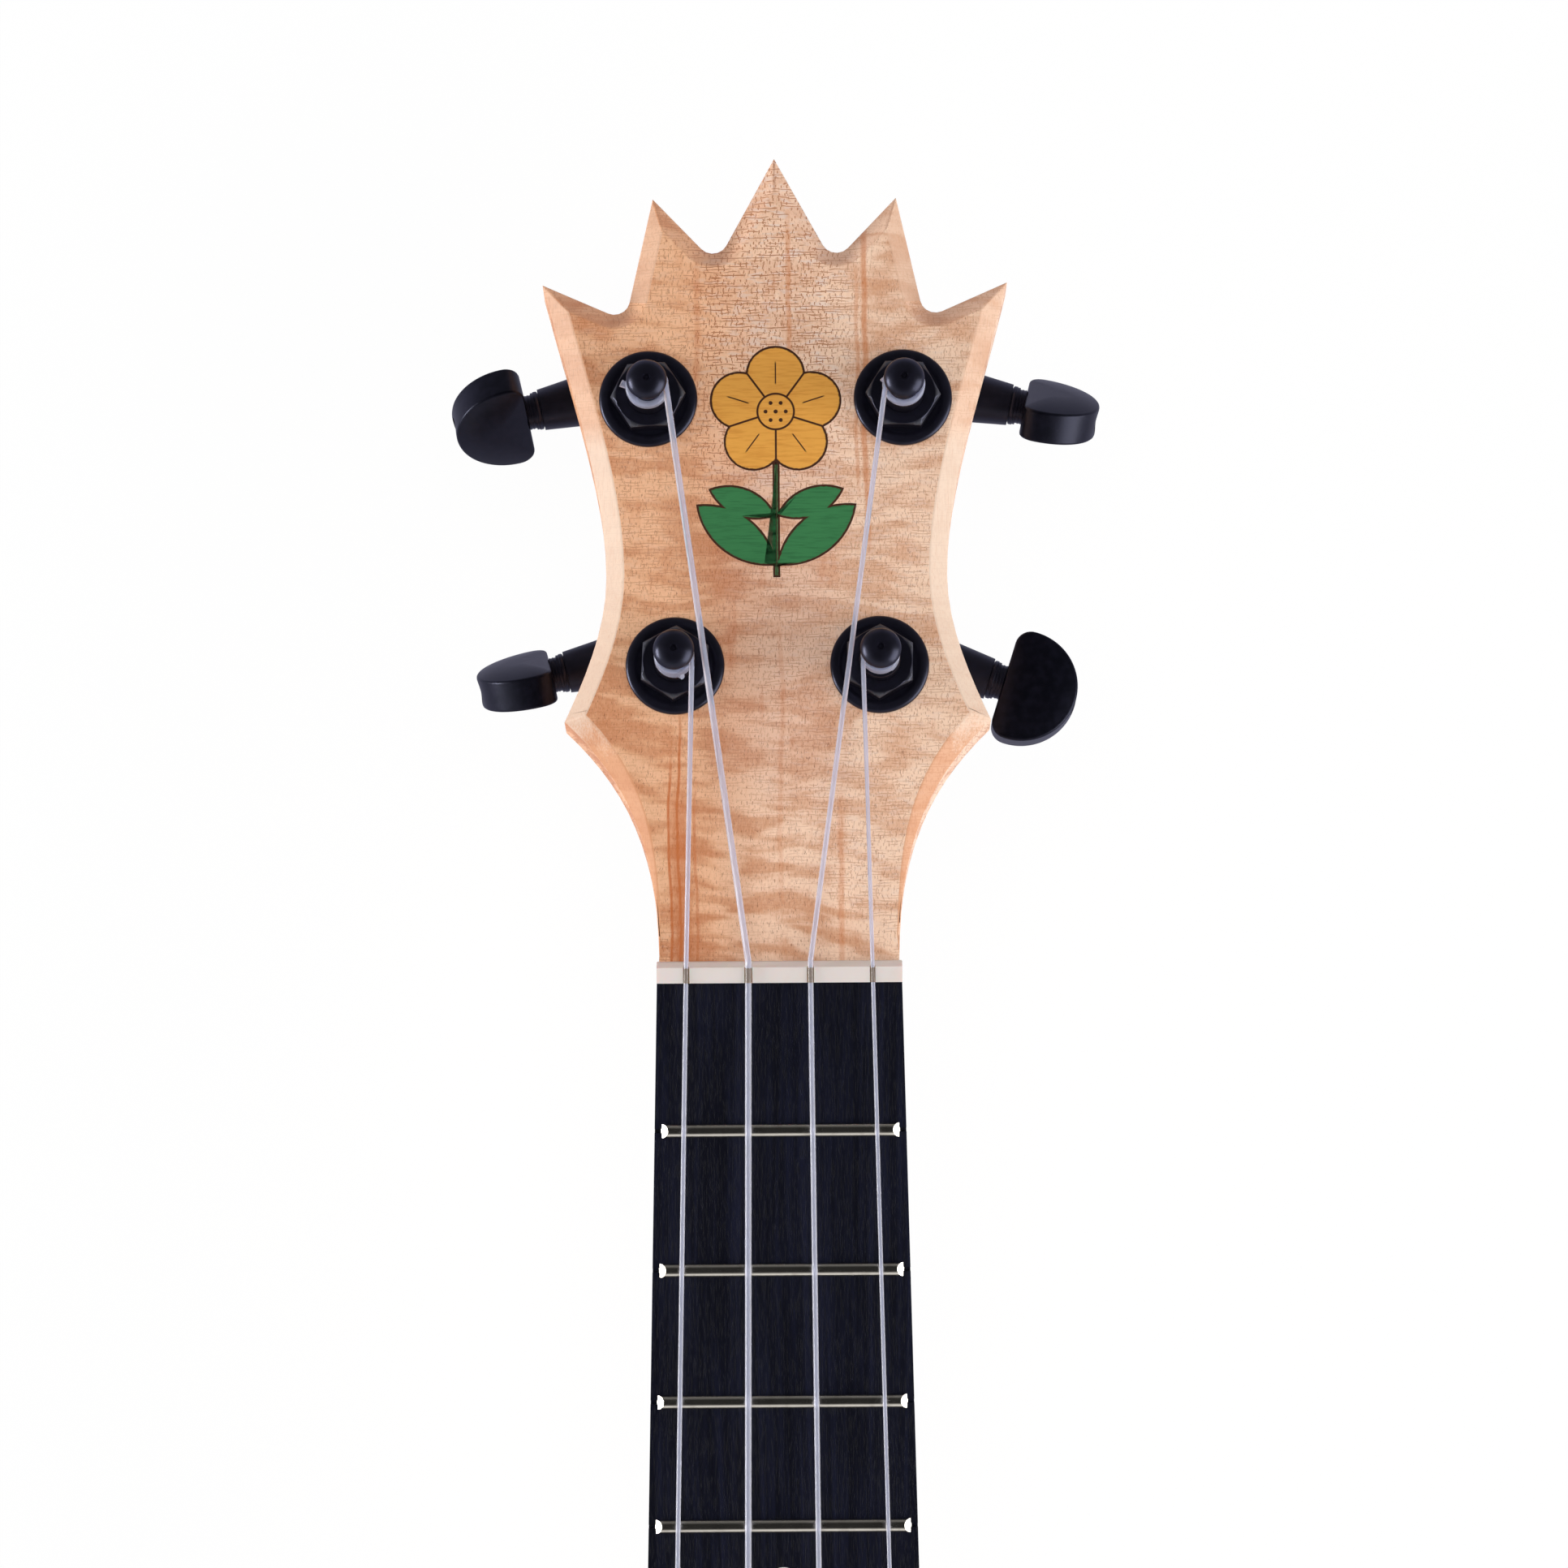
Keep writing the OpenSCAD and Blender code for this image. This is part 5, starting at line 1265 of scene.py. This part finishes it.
class UKULELE_OT_windings(bpy.types.Operator):
    """Wind the strings' ends on their posts, with a cut end standing out of each but the A
    string's
    """

    bl_idname = "ukulele.windings"
    bl_label = "Windings"

    def execute(self, context):
        strings = settings().strings
        wound = nylon("wound_nylon", chip(212, 212, 220), strings.clearness, 0.3)
        for letter in MACHINES:
            node = f"winding_{letter}"
            matrix = machine_matrix(letter)
            low, high = local_box(node, matrix)
            thickness = (high.z - low.z) / 1.9
            bm = self.wind(letter, thickness, matrix)
            move_to(bm, matrix)
            add_piece(f"{node}_wound", bm, f"post_{letter}", wound, (node,), 60.0)
        return {"FINISHED"}

    def wind(self, letter, thickness, matrix):
        """Turns of string that climb down the post from its inner side to a cut end."""
        turns, spread, pointing = WINDINGS[letter]
        radius = POST_WAIST + thickness / 2 + spread
        top = local_box(f"string_{letter}", matrix)[1].z - thickness * 1.55
        bm = bmesh.new()
        upright = Matrix.Rotation(math.radians(90), 4, "X")
        start = Matrix.Translation((-radius * MM, 0, top * MM)) @ upright
        bmesh.ops.create_circle(bm, segments=14, radius=thickness / 2 * MM, matrix=start)
        wound = bmesh.ops.spin(
            bm,
            geom=[*bm.verts, *bm.edges],
            axis=(0, 0, 1),
            dvec=(0, 0, -thickness * 0.94 * MM / TURN_STEPS),
            angle=-2 * math.pi * turns,
            steps=int(TURN_STEPS * turns),
        )
        last = [vert.co for vert in of_kind(bmesh.types.BMVert, wound["geom_last"])]
        bmesh.ops.holes_fill(bm, edges=[e for e in bm.edges if e.is_boundary], sides=0)
        stub = Vector(pointing) * MM
        if stub.length:
            place = sum(last, Vector()) / len(last) + stub / 2
            turn = stub.to_track_quat("Z", "Y").to_matrix().to_4x4()
            bmesh.ops.create_cone(
                bm,
                cap_ends=True,
                segments=16,
                radius1=thickness * 0.42 * MM,
                radius2=thickness * 0.6 * MM,
                depth=stub.length,
                matrix=Matrix.Translation(place) @ turn,
            )
        bmesh.ops.recalc_face_normals(bm, faces=bm.faces)
        return bm


# ---- Stage ----


class UKULELE_OT_stage(bpy.types.Operator):
    """Set the floor, the soft light and the camera"""

    bl_idname = "ukulele.stage"
    bl_label = "Stage"

    def execute(self, context):
        self.lay_floor()
        self.light_surroundings()
        target = HEAD_ORIGIN + HEAD_UP * 40 * MM
        power = settings().stage.side_power
        for name, place, size, share in (
            ("lamp_left", (-0.9, target.y - 0.06, 0.2), (0.42, 0.2), 0.68),
            ("lamp_right", (1.0, target.y - 0.35, 0.38), (0.9, 0.9), 1.2),
            ("lamp_above", (0, target.y + 0.2, 1.5), (1.0, 1.0), 0.8),
        ):
            lamp = self.hang_lamp(name, place, target, size, power * share)
            lamp.visible_glossy = name != "lamp_above"
        self.set_camera()
        context.scene.view_settings.view_transform = "Standard"
        return {"FINISHED"}

    def lay_floor(self):
        stage = settings().stage
        bm = bmesh.new()
        bmesh.ops.create_grid(bm, x_segments=1, y_segments=1, size=5.0)
        bmesh.ops.translate(bm, verts=bm.verts, vec=(0, 0, CAD_BOX[0][2] - 0.0003))
        mesh = bpy.data.meshes.new("floor")
        bm.to_mesh(mesh)
        bm.free()
        # Cameras see a plain white floor, and mirrors a dimmer one.
        g = Finish("pale_floor")
        seen = g.most(g.ray("Camera"), g.ray("Glossy"), g.ray("Transmission"))
        matte = g.node("ShaderNodeBsdfDiffuse", sockets={"Color": stage.floor})
        white = g.node("ShaderNodeEmission", sockets={"Color": (1, 1, 1), "Strength": 1.0})
        dim = g.node("ShaderNodeEmission", sockets={"Color": (0.4, 0.4, 0.56), "Strength": 1.0})
        shown = g.node("ShaderNodeMixShader", sockets={0: g.ray("Glossy"), 1: white, 2: dim})
        both = g.node("ShaderNodeMixShader", sockets={0: seen * 0.95, 1: matte, 2: shown})
        g.node("ShaderNodeOutputMaterial", sockets={"Surface": both})
        mesh.materials.append(g.material)
        floor = bpy.data.objects.new("floor", mesh)
        bpy.context.scene.collection.objects.link(floor)

    def light_surroundings(self):
        world = bpy.data.worlds.new("studio")
        bpy.context.scene.world = world
        world.use_nodes = True
        g = Graph(world.node_tree)
        # Mirrors see walls that fade upwards, and are brighter towards the sound box.
        seen = g.most(g.ray("Camera"), g.ray("Transmission"))
        _, along, height = g.parts(g.node("ShaderNodeTexCoord", output="Generated"))
        near = g.step(along, 0.3, -0.3) * 0.7 + 0.14
        walls = g.step(height, 0.85, 0.4) * near + 0.02
        glossy = g.ray("Glossy")
        level = g.most(glossy * walls + (1 - glossy) * settings().stage.fill, seen)
        sky = g.node("ShaderNodeBackground", sockets={"Color": (1, 1, 1), "Strength": level})
        g.node("ShaderNodeOutputWorld", sockets={"Surface": sky})

    def hang_lamp(self, name, place, target, size, power):
        lamp = bpy.data.lights.new(name, "AREA")
        lamp.shape = "RECTANGLE"
        lamp.size, lamp.size_y = size
        lamp.energy = power
        obj = bpy.data.objects.new(name, lamp)
        obj.location = place
        obj.rotation_euler = (target - Vector(place)).to_track_quat("-Z", "Y").to_euler()
        bpy.context.scene.collection.objects.link(obj)
        return obj

    def set_camera(self):
        stage = settings().stage
        data = bpy.data.cameras.new("camera")
        data.lens = stage.focal_length
        data.sensor_width = 36.0
        data.clip_end = 50.0
        camera = bpy.data.objects.new("camera", data)
        away = Vector((stage.camera_across, stage.camera_along, stage.camera_height))
        camera.location = HEAD_ORIGIN + away
        camera.rotation_euler = (0, 0, stage.roll)
        bpy.context.scene.collection.objects.link(camera)
        bpy.context.scene.camera = camera


# ---- Add-on ----

ORDER = (
    UKULELE_OT_stage,
    UKULELE_OT_sound_box,
    UKULELE_OT_bridge,
    UKULELE_OT_neck,
    UKULELE_OT_headstock,
    UKULELE_OT_inlay,
    UKULELE_OT_fretboard,
    UKULELE_OT_strings,
    UKULELE_OT_machines,
    UKULELE_OT_buttons,
    UKULELE_OT_windings,
)


class UKULELE_PT_panel(bpy.types.Panel):
    """Pieces of the ukulele"""

    bl_idname = "UKULELE_PT_panel"
    bl_label = "Ukulele"
    bl_space_type = "VIEW_3D"
    bl_region_type = "UI"
    bl_category = "Ukulele"

    def draw(self, context):
        for operator in ORDER:
            self.layout.operator(operator.bl_idname)


CLASSES = (
    WoodSettings,
    DarkWoodSettings,
    InlaySettings,
    HardwareSettings,
    StringSettings,
    StageSettings,
    UkuleleSettings,
    *ORDER,
    UKULELE_PT_panel,
)


def register():
    for cls in CLASSES:
        bpy.utils.register_class(cls)
    bpy.types.Scene.ukulele = bpy.props.PointerProperty(type=UkuleleSettings)


def unregister():
    del bpy.types.Scene.ukulele
    for cls in reversed(CLASSES):
        bpy.utils.unregister_class(cls)


def main():
    register()
    for operator in ORDER:
        group, name = operator.bl_idname.split(".")
        getattr(getattr(bpy.ops, group), name)()


if __name__ == "__main__":
    main()
